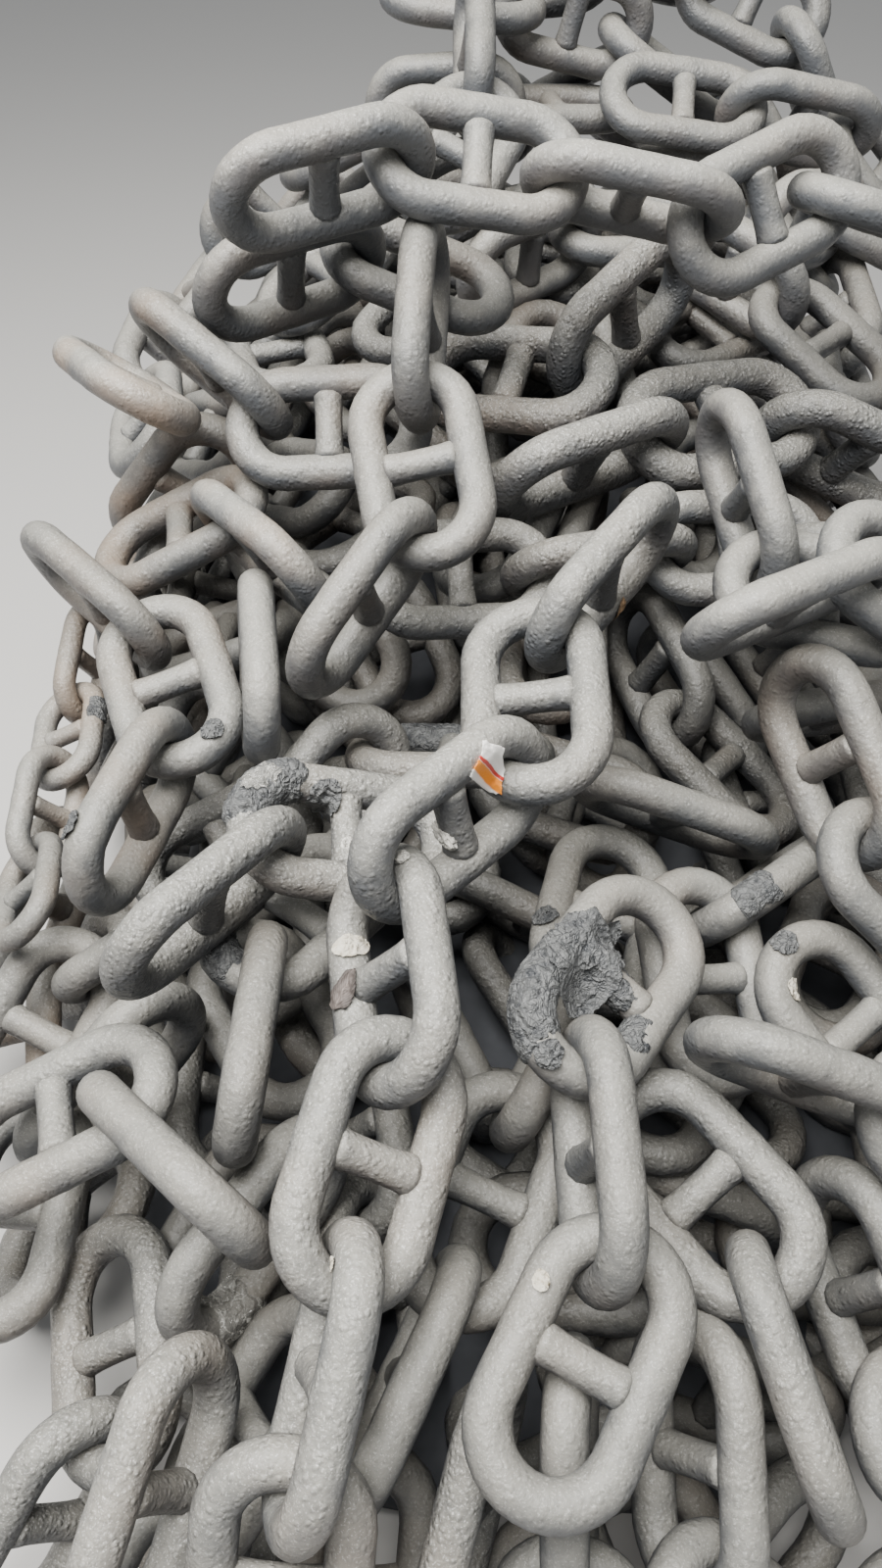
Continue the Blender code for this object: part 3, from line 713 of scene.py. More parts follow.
class CoreTop:
    """The solid core's surface, and its height on a grid, read by looking straight down on it."""

    STEP = 0.02
    MARGIN = 0.1
    UNDERSIDE = -0.3
    LEAST_LEVEL = 0.05

    def __init__(self, node):
        points, faces = corners_of(node)
        self.tree = BVHTree.FromPolygons(points.tolist(), faces.tolist())
        self.low = points.min(axis=0)[:2] - self.MARGIN
        self.high = points.max(axis=0)[:2] + self.MARGIN
        self.corners = points[faces]
        cross = np.cross(self.corners[:, 1] - self.corners[:, 0],
                         self.corners[:, 2] - self.corners[:, 0])
        area = np.linalg.norm(cross, axis=1)
        self.normals = cross / area[:, None]
        sum_area = np.cumsum(area * (self.normals[:, 2] > self.UNDERSIDE))
        self.sum_share = sum_area / sum_area[-1]
        top = float(points[:, 2].max()) + 1.0
        self.shape = tuple(np.ceil((self.high - self.low) / self.STEP).astype(int) + 1)
        grid = np.zeros(self.shape)
        for i, j in np.ndindex(self.shape):
            x = self.low[0] + i * self.STEP
            y = self.low[1] + j * self.STEP
            hit = self.tree.ray_cast(Vector((x, y, top)), Vector((0.0, 0.0, -1.0)))[0]
            grid[i, j] = hit.z if hit else 0.0
        self.grid = grid

    def spot(self, rng):
        """Return a place on the surface at random, evenly by area, and the normal there."""
        face = int(np.searchsorted(self.sum_share, rng.uniform()))
        first, second = rng.uniform(size=2)
        if first + second > 1.0:
            first, second = 1.0 - first, 1.0 - second
        a, b, c = self.corners[face]
        return a + first * (b - a) + second * (c - a), self.normals[face]

    def outside(self, points):
        """Return how far outside the surface each point lies, less than 0 inside."""
        away = np.empty(len(points))
        for k, point in enumerate(points):
            place, normal, _, distance = self.tree.find_nearest(point)
            away[k] = math.copysign(distance, (Vector(point) - place).dot(normal))
        return away

    def along(self, place, heading):
        """Return the direction on the surface near a place that follows a heading on the plan."""
        normal = np.array(self.tree.find_nearest(place)[1])
        flat = np.array((math.cos(heading), math.sin(heading), 0.0))
        level = flat - normal * (flat @ normal)
        return level / max(np.linalg.norm(level), self.LEAST_LEVEL)

    def at(self, x, y):
        """Return the height at places on the plan, by linear steps between grid points."""
        column = np.clip((x - self.low[0]) / self.STEP, 0.0, self.shape[0] - 1.001)
        row = np.clip((y - self.low[1]) / self.STEP, 0.0, self.shape[1] - 1.001)
        i = column.astype(int)
        j = row.astype(int)
        u = column - i
        v = row - j
        near = self.grid[i, j] * (1.0 - v) + self.grid[i, j + 1] * v
        far = self.grid[i + 1, j] * (1.0 - v) + self.grid[i + 1, j + 1] * v
        return near * (1.0 - u) + far * u


class Room:
    """The room that the laid bars leave for another, on a grid of small cubes."""

    STEP = 0.010

    def __init__(self, low, high):
        self.low = np.asarray(low)
        self.last = np.ceil((np.asarray(high) - self.low) / self.STEP).astype(int)
        self.taken = np.zeros(self.last + 1, bool)

    def cells(self, points):
        """Return the cubes that hold the points."""
        return np.clip(np.rint((points - self.low) / self.STEP).astype(int), 0, self.last)

    def add(self, points, radius):
        """Take the cubes where the middle of another bar would come too near the points."""
        reach = radius + 0.5 * BAR_DIAMETER - CONTACT_SLACK
        count = int(math.ceil(reach / self.STEP))
        side = np.arange(-count, count + 1) * self.STEP
        ball = np.stack(np.meshgrid(side, side, side), axis=-1).reshape(-1, 3)
        ball = ball[(ball ** 2).sum(axis=1) < reach ** 2]
        cells = self.cells((points[:, None, :] + ball).reshape(-1, 3))
        self.taken[cells[:, 0], cells[:, 1], cells[:, 2]] = True

    def free(self, points):
        """Return whether a bar along the points stays clear of what is laid."""
        cells = self.cells(points)
        return not self.taken[cells[:, 0], cells[:, 1], cells[:, 2]].any()


SAMPLE_TURNS = np.arange(26) / 26.0
BURIED_PASSES = ((4, 2500), (3, 4000), (2, 9000), (1, 45000))
BURIED_MOST = 400
BURIED_DEPTHS = (0.030, 0.050, 0.080, 0.120, 0.170, 0.220)
CONTACT_SLACK = 0.010
FLOOR_GAP = 0.002
ROLL_SHARES = (0.25, 1.0)
RUN_BEND = 0.7
LEAST_PULL = 0.2
PULL_TURN = math.radians(60.0)
LINK_TURN = math.radians(55.0)


def bar_samples(places):
    """Points along the middle lines and studs of links, for the test of room."""
    line = link_line(SAMPLE_TURNS)[0]
    stud = np.array([(share * SIDE_OFFSET, 0.0, 0.0) for share in (-0.4, 0.0, 0.4)])
    return places.put(np.concatenate([line, stud]))


def unit(vector):
    """Return the vector at length one."""
    return vector / np.linalg.norm(vector)


def turned_back(direction, towards, limit):
    """Return the direction, turned back towards another where it is past the limit."""
    cosine = float(np.clip(direction @ towards, -1.0, 1.0))
    if cosine >= math.cos(limit):
        return direction
    side = unit(direction - towards * cosine)
    return towards * math.cos(limit) + side * math.sin(limit)


def chain_from(middle, along, normal, headings, core):
    """Return the places of linked links, each turned a quarter and hung in the crown before."""
    middles = [middle]
    axes = [(np.cross(along, normal), along, normal)]
    for heading in headings:
        eye = middle + along * HALF_STRAIGHT
        wanted = core.along(eye, heading)
        pull = wanted - normal * (wanted @ normal)
        if np.linalg.norm(pull) < LEAST_PULL:
            return None
        pull = turned_back(unit(pull), along, PULL_TURN)
        normal = unit(np.cross(pull, normal))
        along = turned_back(unit(wanted - normal * (wanted @ normal)), pull, LINK_TURN)
        middle = eye + pull * (2.0 * SIDE_OFFSET - BAR_DIAMETER) + along * HALF_STRAIGHT
        middles.append(middle)
        axes.append((np.cross(along, normal), along, normal))
    return Places(middles, axes, np.ones(len(middles)))


def fill_heap(core, room, allowance, rng):
    """Return buried runs, laid at random under the core's surface wherever there is room."""
    radius = 0.5 * BAR_DIAMETER
    laid = []
    count = 0
    for links, tries in BURIED_PASSES:
        for _ in range(tries):
            place, out = core.spot(rng)
            heading = rng.uniform(0.0, 2.0 * math.pi)
            roll = rng.choice(ROLL_SHARES) * rng.uniform(-0.5 * math.pi, 0.5 * math.pi)
            depth = BURIED_DEPTHS[rng.integers(len(BURIED_DEPTHS))]
            bends = rng.uniform(-RUN_BEND, RUN_BEND, links - 1)
            middle = place + out * (allowance - depth)
            along = unit(np.cross(out, (math.cos(heading), math.sin(heading), 0.3)))
            normal = unit(out * math.cos(roll) + np.cross(along, out) * math.sin(roll))
            first = Places(middle, (np.cross(along, normal), along, normal), 1.0)
            if not room.free(bar_samples(first).reshape(-1, 3)):
                continue
            heading = math.atan2(along[1], along[0])
            places = chain_from(middle, along, normal, heading + np.cumsum(bends), core)
            if places is None:
                continue
            flat = bar_samples(places).reshape(-1, 3)
            if (flat[:, 2] < radius + FLOOR_GAP).any() or not room.free(flat):
                continue
            if (core.outside(flat) + radius > allowance).any():
                continue
            room.add(flat, radius)
            laid.append(places)
            count += links
            if count > BURIED_MOST:
                return laid
    return laid


def dark_middle(core, depth, inset, material):
    """Return the dark middle, painted shade between the buried links: the core drawn in by the
    inset and lowered by the depth.

    Rings at shares s of the way from the middle to the foot f: the place s f of the core's
    surface comes to s (f - inset), and z = core - min(depth, 0.45 core), over a flat base.
    """
    sides = 96
    rings = 26
    base = 0.004
    edge_height = 0.05
    centre = 0.5 * (core.low + core.high)
    angle = 2.0 * math.pi * np.arange(sides) / sides
    reach = np.linspace(0.0, 2.0, 201)
    x = centre[0] + reach[None, :] * np.cos(angle)[:, None]
    y = centre[1] + reach[None, :] * np.sin(angle)[:, None]
    inside = core.at(x, y) > edge_height
    foot = reach[inside.shape[1] - 1 - np.argmax(inside[:, ::-1], axis=1)]
    share = np.linspace(1.0, 0.04, rings - 1)[:, None]
    height = core.at(centre[0] + share * foot * np.cos(angle),
                     centre[1] + share * foot * np.sin(angle))
    z = np.maximum(height - np.minimum(depth, 0.45 * height), base + 0.01)
    x = centre[0] + share * (foot - inset) * np.cos(angle)
    y = centre[1] + share * (foot - inset) * np.sin(angle)
    top = np.stack([x, y, z], axis=-1)
    bottom = np.stack([x[0], y[0], np.full(sides, base)], axis=-1)
    points = np.concatenate([bottom, top.reshape(-1, 3),
                             [(*centre, base)], [(*centre, float(z[-1].mean()))]])
    quads, fans = closed_skin(rings, sides)
    return make_piece("dark_middle", points, quads[:, ::-1], fans[:, ::-1], material)


# Film and litter.

# How far from a pixel, in pixels, a run is looked for.
SEARCH_REACH = 160
SEARCH_STEP = 8
# A scrap is dropped from its start and hangs no lower than its sag where nothing carries it.
SCRAP_START = 0.06
SCRAP_FALL = 0.14
SCRAP_SAG = 0.06
SCRAP_THICKNESS = 0.001
SCRAP_GAP = 0.0008
SAG_PASSES = 60
SAG_STEP = 0.0002
# A crust's crinkles and the waves of its edge, and how deep its edge and ends lie in the bar.
CRUST_CRINKLE = 0.016
CRUST_WAVE = 0.055
CRUST_EDGE = -0.0016
CRUST_END = -0.003
CRUST_STEP = 0.0045
STUD_REACH = 0.044


def ray_of(pixel):
    """Return the direction in which the photograph looks at one of its pixels."""
    across = (pixel[0] - 0.5 * IMAGE_WIDTH) / VIEW_FOCAL
    down = (pixel[1] - 0.5 * IMAGE_HEIGHT) / VIEW_FOCAL
    sine = math.sin(VIEW_TILT)
    cosine = math.cos(VIEW_TILT)
    return Vector((across, sine - down * cosine, -cosine - down * sine)).normalized()


def tree_of(items):
    """Return a tree of the surfaces of several pieces, to look along rays at."""
    points = []
    faces = []
    start = 0
    for item in items:
        places, corners = corners_of(item)
        points.append(places)
        faces.append(corners + start)
        start += len(places)
    return BVHTree.FromPolygons(np.concatenate(points).tolist(), np.concatenate(faces).tolist())


def seen_at(tree, pixel):
    """Return the place on the runs, and its normal, seen at a pixel or at the next that has one."""
    for reach in range(0, SEARCH_REACH, SEARCH_STEP):
        for turn in np.arange(12) * math.pi / 6.0:
            beside = (pixel[0] + reach * math.cos(turn), pixel[1] + reach * math.sin(turn))
            place, normal = tree.ray_cast(Vector(VIEW_PLACE), ray_of(beside))[:2]
            if place is not None:
                return np.array(place), np.array(normal)
    raise RuntimeError(f"no run is seen near the pixel {pixel}")


def ridges(points, size, seed):
    """Crinkles between 0 and 1: ridges on the walls between cells, the finer on the coarser.

    A wall is where the nearest two of a set of scattered points are equally far. The cells are
    as wide as the size, and then half as wide.
    """
    rng = np.random.default_rng(seed)
    flat = points.reshape(-1, 3)
    low = flat.min(axis=0) - size
    high = flat.max(axis=0) + size
    total = np.zeros(len(flat))
    for share, pitch in ((0.65, size), (0.35, 0.5 * size)):
        count = int(np.prod((high - low) / pitch)) + 8
        seeds = rng.uniform(low, high, (min(count, 1500), 3))
        for start in range(0, len(flat), 2000):
            part = flat[start:start + 2000]
            away = np.sqrt(((part[:, None, :] - seeds[None, :, :]) ** 2).sum(axis=2))
            pair = np.partition(away, 1, axis=1)[:, :2]
            wall = np.clip((pair[:, 1] - pair[:, 0]) / (0.75 * pitch), 0.0, 1.0)
            total[start:start + 2000] += share * (1.0 - wall) ** 1.4
    return total.reshape(points.shape[:-1])


def nearest_bar(place):
    """Return the run, the link, and where on the link's bar or stud a place lies."""
    turns = np.arange(208) / 208.0
    line = link_line(turns)[0]
    stud_share = np.linspace(-0.6, 0.6, 25)
    stud = np.stack([stud_share * SIDE_OFFSET, 0.0 * stud_share, 0.0 * stud_share], axis=-1)
    best = None
    for name, places in Heap.places.items():
        middle = places.put(np.concatenate([line, stud]))
        away = np.linalg.norm(middle - place, axis=2)
        link, point = np.unravel_index(np.argmin(away), away.shape)
        if best is None or away[link, point] < best[0]:
            best = (away[link, point], name, int(link), int(point))
    name, link, point = best[1:]
    if point < len(turns):
        return name, link, "bar", float(turns[point])
    return name, link, "stud", float(stud_share[point - len(turns)])


def crust_on_bar(name, place, normal, spec, material):
    """Return a crust of film round a bar or stud, about a place on it.

    Radius R + h(s, v). h rises from inside the bar at a ragged edge, s along the bar and v round
    it from the facing side, to crinkles of the given thickness. Its ends close inside the bar.
    """
    length, reach, thickness, seed = spec
    run, link, part, where = nearest_bar(place)
    places = Heap.places[run]
    size = places.sizes[link]
    axes = places.axes[link]
    rings = 4 + 2 * int(length / CRUST_STEP)
    sides = 44
    share = np.linspace(-1.0, 1.0, rings)
    angle = 2.0 * math.pi * np.arange(sides) / sides
    if part == "bar":
        whole = 4.0 * HALF_STRAIGHT + 2.0 * math.pi * SIDE_OFFSET
        line, outward = link_line(where + share * 0.5 * length / (whole * size))
        radius = 0.5 * BAR_DIAMETER * size
    else:
        way = np.clip(where * SIDE_OFFSET + share * 0.5 * length / size,
                      -STUD_REACH, STUD_REACH)
        line = np.stack([way, 0.0 * way, 0.0 * way], axis=-1)
        outward = np.tile((0.0, 1.0, 0.0), (rings, 1))
        radius = STUD_PROFILE[len(STUD_PROFILE) // 2][1] * size
    line = line * size @ axes + places.middles[link]
    outward = outward @ axes
    sideways = np.tile(axes[2], (rings, 1))
    facing = math.atan2(float(normal @ sideways[rings // 2]), float(normal @ outward[rings // 2]))
    spoke = (outward[:, None, :] * np.cos(angle)[None, :, None]
             + sideways[:, None, :] * np.sin(angle)[None, :, None])
    skin = line[:, None, :] + radius * spoke
    crinkle = ridges(skin, CRUST_CRINKLE, seed)
    wander = ridges(skin, CRUST_WAVE, seed + 1)
    away = np.abs(np.mod(angle - facing + math.pi, 2.0 * math.pi) - math.pi)
    along = np.abs(share)[:, None] * (1.0 + 0.55 * (wander - 0.5) + 0.25 * (crinkle - 0.5))
    round_way = (away / reach)[None, :] * (1.0 + 0.6 * (wander - 0.5) + 0.25 * (crinkle - 0.5))
    cover = 1.0 - np.maximum(along, round_way) ** 6.0
    rise = np.where(cover > 0.0, thickness * (0.22 + 0.9 * crinkle) * np.minimum(1.0, 2.2 * cover),
                    CRUST_EDGE)
    rise[[0, -1]] = CRUST_END
    points = (line[:, None, :] + (radius + rise)[..., None] * spoke).reshape(-1, 3)
    caps = np.stack([line[0], line[-1]])
    quads, fans = closed_skin(rings, sides)
    if part == "stud":
        quads = quads[:, ::-1]
        fans = fans[:, ::-1]
    values = {"crease": np.concatenate([crinkle.ravel(), (0.5, 0.5)])}
    return make_piece(name, np.concatenate([points, caps]), quads, fans, material, values)


def level_pair(up):
    """Return the directions to the right and ahead on the plane across a direction."""
    right = unit(np.cross((0.0, 1.0, 0.0), up))
    return right, np.cross(up, right)


def outline_of(shape, across, along):
    """Return a patch's plan inside its box: a rectangle, a ragged disc or a leaf."""
    if shape == "leaf":
        width = np.sqrt(np.clip(1.0 - along ** 2, 0.0, 1.0)) ** 1.3 * (1.0 - 0.25 * along)
        return across * np.maximum(width, 0.03), along
    if shape == "disc":
        return (across * np.sqrt(1.0 - 0.5 * along ** 2), along * np.sqrt(1.0 - 0.5 * across ** 2))
    return across, along


def scrap(name, place, normal, spec, material):
    """Return a thin crumpled scrap that lies over the bars at a place.

    A grid on the plane across the normal is dropped on the bars, and where it spans a gap it hangs
    at the mean of its neighbours. Crinkles lift it, and a second skin closes it from below.
    """
    shape, width, length, heading, crumple, seed = spec
    count = 30
    grid = np.linspace(-1.0, 1.0, count)
    across, along = np.meshgrid(grid, grid, indexing="ij")
    plan_x, plan_y = outline_of(shape, across, along)
    up = unit(0.55 * normal + np.array((0.0, -0.35, 0.75)))
    right, ahead = level_pair(up)
    first = right * math.cos(heading) + ahead * math.sin(heading)
    second = ahead * math.cos(heading) - right * math.sin(heading)
    base = (place + 0.5 * width * plan_x[..., None] * first
            + 0.5 * length * plan_y[..., None] * second)
    edge = ridges(base, 0.02, seed) - 0.5
    grow = 1.0 + 0.35 * edge * np.maximum(np.abs(across), np.abs(along)) ** 3
    base = place + (base - place) * grow[..., None]
    lowest = np.full((count, count), -SCRAP_SAG)
    down = Vector(-up)
    for i, j in np.ndindex(count, count):
        hit = Heap.tree.ray_cast(Vector(base[i, j] + up * SCRAP_START), down, SCRAP_FALL)[3]
        if hit is not None:
            lowest[i, j] = SCRAP_START - hit
    rest = lowest.copy()
    for _ in range(SAG_PASSES):
        padded = np.pad(rest, 1, mode="edge")
        mean = 0.25 * (padded[:-2, 1:-1] + padded[2:, 1:-1] + padded[1:-1, :-2] + padded[1:-1, 2:])
        rest = np.maximum(lowest, mean - SAG_STEP)
    lift = crumple * ridges(base, 0.35 * min(width, length) + 0.004, seed + 3)
    centre = base + up * (rest + SCRAP_GAP + lift)[..., None]
    top = centre + up * 0.5 * SCRAP_THICKNESS
    bottom = centre - up * 0.5 * SCRAP_THICKNESS
    points = np.concatenate([top.reshape(-1, 3), bottom.reshape(-1, 3)])
    quads, fans = double_sheet(count)
    surface = np.stack([0.5 + 0.5 * across, 0.5 + 0.5 * along], axis=-1).reshape(-1, 2)
    values = {"crease": np.tile(lift.ravel() / max(crumple, 1e-6), 2)}
    item = make_piece(name, points, quads, fans, material, values)
    add_surface(item, np.tile(surface, (2, 1)))
    return item


def double_sheet(count):
    """Faces of two grids, one above the other, closed round their rim."""
    row, column = np.meshgrid(np.arange(count - 1), np.arange(count - 1), indexing="ij")
    a = (row * count + column).ravel()
    quads = np.stack([a, a + count, a + count + 1, a + 1], axis=-1)
    under = count * count
    steps = np.arange(count)
    rim = np.concatenate([steps[:-1] * count, (count - 1) * count + steps[:-1],
                          steps[:0:-1] * count + count - 1, steps[:0:-1]])
    after = np.roll(rim, -1)
    wall = np.stack([rim, rim + under, after + under, after], axis=-1)
    every = np.concatenate([quads, quads[:, ::-1] + under, wall])
    return every, np.zeros((0, 3), int)


def add_surface(item, places):
    """Give a piece a flat map of its surface, from a place for each of its vertices."""
    mesh = item.data
    corners = np.empty(len(mesh.loops), np.int32)
    mesh.loops.foreach_get("vertex_index", corners)
    layer = mesh.uv_layers.new(name="surface")
    layer.data.foreach_set("uv", np.ascontiguousarray(places[corners], np.float32).ravel())


def crumpled_ball(name, place, normal, spec, material):
    """Return a crumpled lump: radii of an egg, drawn in along crinkles, sunk a little."""
    width, length, height, seed = spec
    rings = 30
    sides = 44
    polar = np.linspace(0.0, math.pi, rings + 2)[1:-1]
    turn = 2.0 * math.pi * np.arange(sides) / sides
    spoke = np.stack([np.sin(polar)[:, None] * np.cos(turn), np.sin(polar)[:, None] * np.sin(turn),
                      np.cos(polar)[:, None] * np.ones(sides)], axis=-1)
    fold = ridges(spoke, 0.55, seed)
    half = 0.5 * np.array((width, length, height))
    shape = spoke * half * (0.66 + 0.55 * fold)[..., None]
    up = unit(normal + np.array((0.0, 0.0, 0.6)))
    right, ahead = level_pair(up)
    middle = place + up * (0.30 * height)
    shift = shape[..., :1] * right + shape[..., 1:2] * ahead + shape[..., 2:] * up
    points = (middle + shift).reshape(-1, 3)
    caps = np.array((middle + up * half[2] * 0.85, middle - up * half[2] * 0.85))
    quads, fans = closed_skin(rings, sides)
    values = {"crease": np.concatenate([fold.ravel(), (0.5, 0.5)])}
    return make_piece(name, np.concatenate([points, caps]), quads, fans, material, values)


# Where the photograph shows film round a bar: name, pixel, length, half the turn covered,
# thickness, finish.
FILM_ON_BARS = (
    ("film_over_crown", (275, 800), 0.120, 2.2, 0.0048, "film"),
    ("film_on_front_bar", (425, 745), 0.160, 1.5, 0.0028, "film"),
    ("film_on_left_bar", (226, 965), 0.075, 1.5, 0.0030, "film"),
    ("film_on_wrapped_bar", (553, 1000), 0.150, 2.6, 0.0030, "film"),
    ("film_on_stud", (620, 985), 0.110, 3.0, 0.0034, "film"),
    ("film_on_next_crown", (632, 1052), 0.050, 1.8, 0.0030, "film"),
    ("film_on_lower_bar", (770, 905), 0.050, 1.3, 0.0030, "film"),
    ("film_on_left_link", (105, 725), 0.050, 1.4, 0.0030, "film"),
    ("clear_film_on_crown", (240, 1340), 0.085, 2.2, 0.0050, "clear"),
)
# Scraps that lie over the bars: name, pixel, outline, width, length, turn, crumple, finish.
SCRAPS = (
    ("film_tag_at_crown", (264, 792), "disc", 0.050, 0.040, 0.4, 0.009, "clear"),
    ("film_tag_beside_crown", (330, 815), "disc", 0.052, 0.036, 1.2, 0.009, "film"),
    ("film_sheet_at_stud", (590, 992), "disc", 0.092, 0.084, 0.3, 0.010, "film"),
    ("film_fold_at_stud", (606, 966), "disc", 0.040, 0.030, 0.2, 0.012, "film"),
    ("film_lump_low", (560, 1075), "disc", 0.030, 0.030, 0.7, 0.009, "film"),
    ("film_fold_high", (556, 935), "disc", 0.034, 0.026, 0.1, 0.008, "film"),
    ("film_tag_right", (800, 962), "disc", 0.030, 0.032, 0.3, 0.006, "film"),
    ("film_shred_left", (72, 842), "disc", 0.036, 0.026, 0.9, 0.007, "film"),
    ("film_shred_upper", (216, 745), "disc", 0.030, 0.026, 0.5, 0.007, "film"),
    ("clear_shred_low", (225, 1320), "disc", 0.046, 0.036, 0.8, 0.010, "clear"),
    ("sweet_wrapper", (503, 790), "sheet", 0.026, 0.038, -0.35, 0.005, "wrapper"),
    ("cream_scrap", (358, 965), "disc", 0.038, 0.026, 0.2, 0.004, "paper"),
    ("dry_pod", (352, 1010), "leaf", 0.026, 0.048, -0.5, 0.007, "pod"),
    ("small_leaf", (660, 640), "leaf", 0.016, 0.032, 0.6, 0.004, "leaf"),
    ("white_scrap_right", (810, 1010), "disc", 0.022, 0.026, 0.4, 0.004, "paper"),
    ("white_scrap_low", (552, 1307), "disc", 0.016, 0.020, 0.0, 0.004, "paper"),
    ("white_scrap_left", (340, 1290), "disc", 0.012, 0.014, 0.5, 0.004, "paper"),
)
# Crumpled lumps: name, pixel, width, length, height, finish.
LUMPS = (
    ("foil_lump", (450, 855), 0.026, 0.052, 0.018, "foil"),
    ("small_foil_lump", (355, 862), 0.016, 0.020, 0.010, "foil"),
    ("small_foil_scrap", (410, 876), 0.018, 0.016, 0.010, "foil"),
)


# Operators.


class HEAP_OT_runs(bpy.types.Operator):
    """Replace every run of the frame with round, dusty, pitted links"""

    bl_idname = "heap.runs"
    bl_label = "Chain runs"

    def execute(self, context):
        look = context.scene.chain_look
        material = steel_finish(look)
        Heap.steel = material
        rng = np.random.default_rng(RUN_SEED)
        for name, node in run_nodes().items():
            places = link_places(node)
            Heap.places[name] = places
            count = len(places)
            values = {
                "pitting": np.clip(PITTED_RUNS.get(name, MILD_PITTING)
                                   + rng.uniform(-0.1, 0.1, count), 0.0, 1.0),
                "rusting": np.clip(RUSTY_RUNS.get(name, MILD_RUSTING)
                                   + rng.uniform(-0.1, 0.15, count), 0.0, 1.0),
                "tone_and_depth_shade": rng.uniform(*RUN_SHADES, count),
            }
            item = link_piece(f"{name}_links", places, look.rings, look.sides, look.bar_scale,
                              values, material, rng)
            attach(item, "root")
            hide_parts(name)
        return {"FINISHED"}


class HEAP_OT_buried(bpy.types.Operator):
    """Fill the heap under the runs with buried chain and a dark middle"""

    bl_idname = "heap.buried"
    bl_label = "Buried chain"

    def execute(self, context):
        look = context.scene.buried_look
        chain = context.scene.chain_look
        core = CoreTop(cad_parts[CORE_NODE])
        room = Room((*core.low, -0.1), (*core.high, float(core.grid.max()) + 0.3))
        for places in Heap.places.values():
            for k in range(len(places)):
                one = Places(places.middles[k], places.axes[k], places.sizes[k])
                room.add(bar_samples(one).reshape(-1, 3), 0.5 * BAR_DIAMETER * places.sizes[k])
        rng = np.random.default_rng(BURIED_SEED)
        laid = fill_heap(core, room, look.allowance, rng)
        middles = np.concatenate([run.middles for run in laid])
        axes = np.concatenate([run.axes for run in laid])
        across = middles[:, 0] > 0.5 * (core.low[0] + core.high[0])
        behind = middles[:, 1] > 0.5 * (core.low[1] + core.high[1])
        quarters = {"front_left": ~across & ~behind, "front_right": across & ~behind,
                    "back_left": ~across & behind, "back_right": across & behind}
        for quarter, picked in quarters.items():
            count = int(picked.sum())
            places = Places(middles[picked], axes[picked], np.ones(count))
            # Lower tones on the buried links: painted shade deep in the heap.
            values = {"pitting": rng.uniform(0.0, 0.6, count),
                      "rusting": rng.uniform(0.1, 0.5, count),
                      "tone_and_depth_shade": rng.uniform(*BURIED_SHADES, count)}
            item = link_piece(f"buried_chain_{quarter}", places, look.rings, look.sides,
                              chain.bar_scale, values, Heap.steel, rng)
            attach(item, "root")
            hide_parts(CORE_NODE)
        # The dark middle is painted shade seen between the buried links.
        item = dark_middle(core, look.middle_depth, look.middle_inset, shade_finish())
        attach(item, "root")
        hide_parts(CORE_NODE)
        return {"FINISHED"}


class HEAP_OT_litter(bpy.types.Operator):
    """Lay the film and the litter where the photograph shows them"""

    bl_idname = "heap.litter"
    bl_label = "Film and litter"

    def execute(self, context):
        look = context.scene.litter_look
        finishes = {
            "film": film_finish(look),
            "clear": clear_film_finish(),
            "paper": paper_finish("stained_paper", look.paper, PAPER_STAIN, 0.7),
            "foil": paper_finish("crumpled_foil", FOIL_COLOUR, FOIL_STAIN, 0.35),
            "wrapper": wrapper_finish(),
            "leaf": leaf_finish("dry_leaf_skin", look.leaf),
            "pod": leaf_finish("dry_pod_skin", look.pod),
        }
        runs = [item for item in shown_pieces() if item.name.endswith("_links")]
        buried = [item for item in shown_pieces() if item.name.startswith("buried_chain")]
        seen = tree_of(runs)
        Heap.tree = tree_of(runs + buried)
        for maker, rows, seed in ((crust_on_bar, FILM_ON_BARS, FILM_SEED),
                                  (scrap, SCRAPS, SCRAP_SEED),
                                  (crumpled_ball, LUMPS, LUMP_SEED)):
            for k, (name, pixel, *sizes, kind) in enumerate(rows):
                place, normal = seen_at(seen, pixel)
                spec = (*sizes, seed + SEED_STEP * k)
                item = maker(name, place, normal, spec, finishes[kind])
                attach(item, "root")
        return {"FINISHED"}


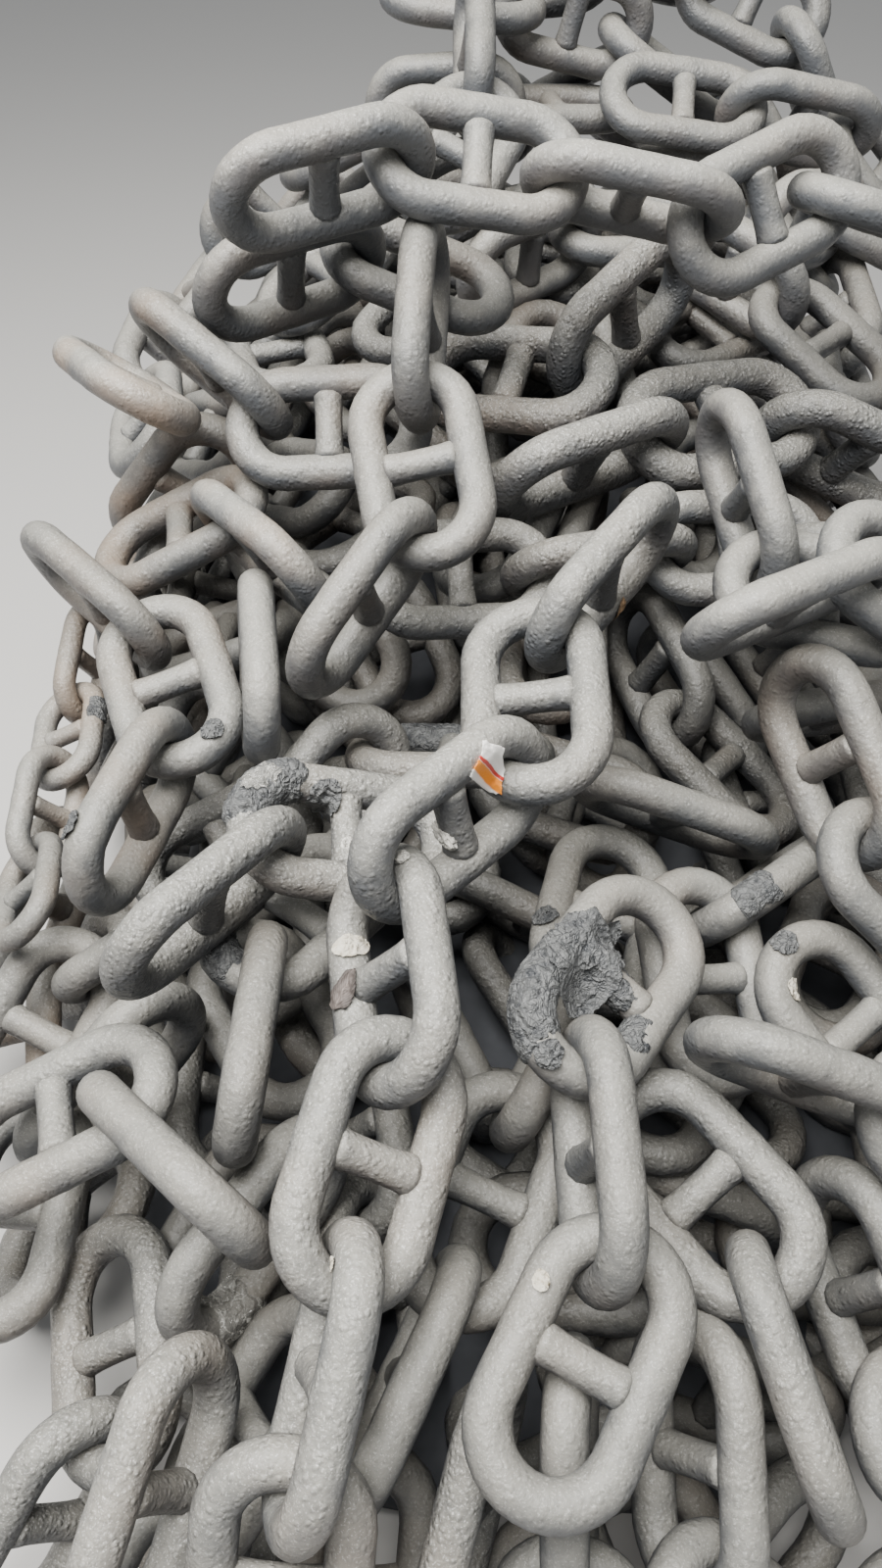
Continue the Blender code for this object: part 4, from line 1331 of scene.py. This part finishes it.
class HEAP_OT_stage(bpy.types.Operator):
    """Set up the floor, the soft light and the photograph's camera"""

    bl_idname = "heap.stage"
    bl_label = "Floor, light and camera"

    def execute(self, context):
        look = context.scene.stage_look
        corners = ((-1, -1, 0), (1, -1, 0), (1, 1, 0), (-1, 1, 0))
        points = FLOOR_HALF * np.array(corners)
        floor = make_piece("floor", points, np.array(((0, 1, 2, 3),)), np.zeros((0, 3), int),
                           floor_finish(look))
        floor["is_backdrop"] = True
        world = bpy.data.worlds.new("soft_studio")
        world.use_nodes = True
        sky = world.node_tree.nodes["Background"]
        sky.inputs["Color"].default_value = SKY_COLOUR
        sky.inputs["Strength"].default_value = look.sky
        context.scene.world = world
        lamp = bpy.data.lights.new("softbox", "AREA")
        lamp.shape = "RECTANGLE"
        lamp.size, lamp.size_y = SOFTBOX_SIDES
        lamp.energy = look.softbox
        lamp.color = SOFTBOX_COLOUR
        softbox = bpy.data.objects.new("softbox", lamp)
        softbox.location = SOFTBOX_PLACE
        aim = Vector(SOFTBOX_AIM) - softbox.location
        softbox.rotation_euler = aim.to_track_quat("-Z", "Y").to_euler()
        context.scene.collection.objects.link(softbox)
        lens = bpy.data.cameras.new("photograph_view")
        lens.sensor_width = SENSOR
        lens.lens = VIEW_FOCAL / IMAGE_HEIGHT * SENSOR
        camera = bpy.data.objects.new("photograph_view", lens)
        camera.location = VIEW_PLACE
        camera.rotation_euler = (VIEW_TILT, 0.0, 0.0)
        context.scene.collection.objects.link(camera)
        context.scene.camera = camera
        return {"FINISHED"}


class HEAP_PT_sidebar(bpy.types.Panel):
    """The heap's operators and values in the sidebar"""

    bl_idname = "HEAP_PT_sidebar"
    bl_label = "Chain heap"
    bl_space_type = "VIEW_3D"
    bl_region_type = "UI"
    bl_category = "Chain heap"

    def draw(self, context):
        for operator in OPERATORS:
            self.layout.operator(operator.bl_idname)
        for name, kind in LOOKS.items():
            look = getattr(context.scene, name)
            for key in kind.__annotations__:
                self.layout.prop(look, key)


LOOKS = {"chain_look": ChainLook, "buried_look": BuriedLook, "litter_look": LitterLook,
         "stage_look": StageLook}
OPERATORS = (HEAP_OT_runs, HEAP_OT_buried, HEAP_OT_litter, HEAP_OT_stage)


def register():
    """Register the classes and the scene's values."""
    for kind in (*LOOKS.values(), *OPERATORS, HEAP_PT_sidebar):
        bpy.utils.register_class(kind)
    for name, kind in LOOKS.items():
        setattr(bpy.types.Scene, name, bpy.props.PointerProperty(type=kind))


def unregister():
    """Take the classes and the scene's values out again."""
    for name in LOOKS:
        delattr(bpy.types.Scene, name)
    for kind in (*LOOKS.values(), *OPERATORS, HEAP_PT_sidebar):
        bpy.utils.unregister_class(kind)


def main():
    """Build the visual model."""
    register()
    bpy.ops.heap.runs()
    bpy.ops.heap.buried()
    bpy.ops.heap.litter()
    bpy.ops.heap.stage()


if __name__ == "__main__":
    main()
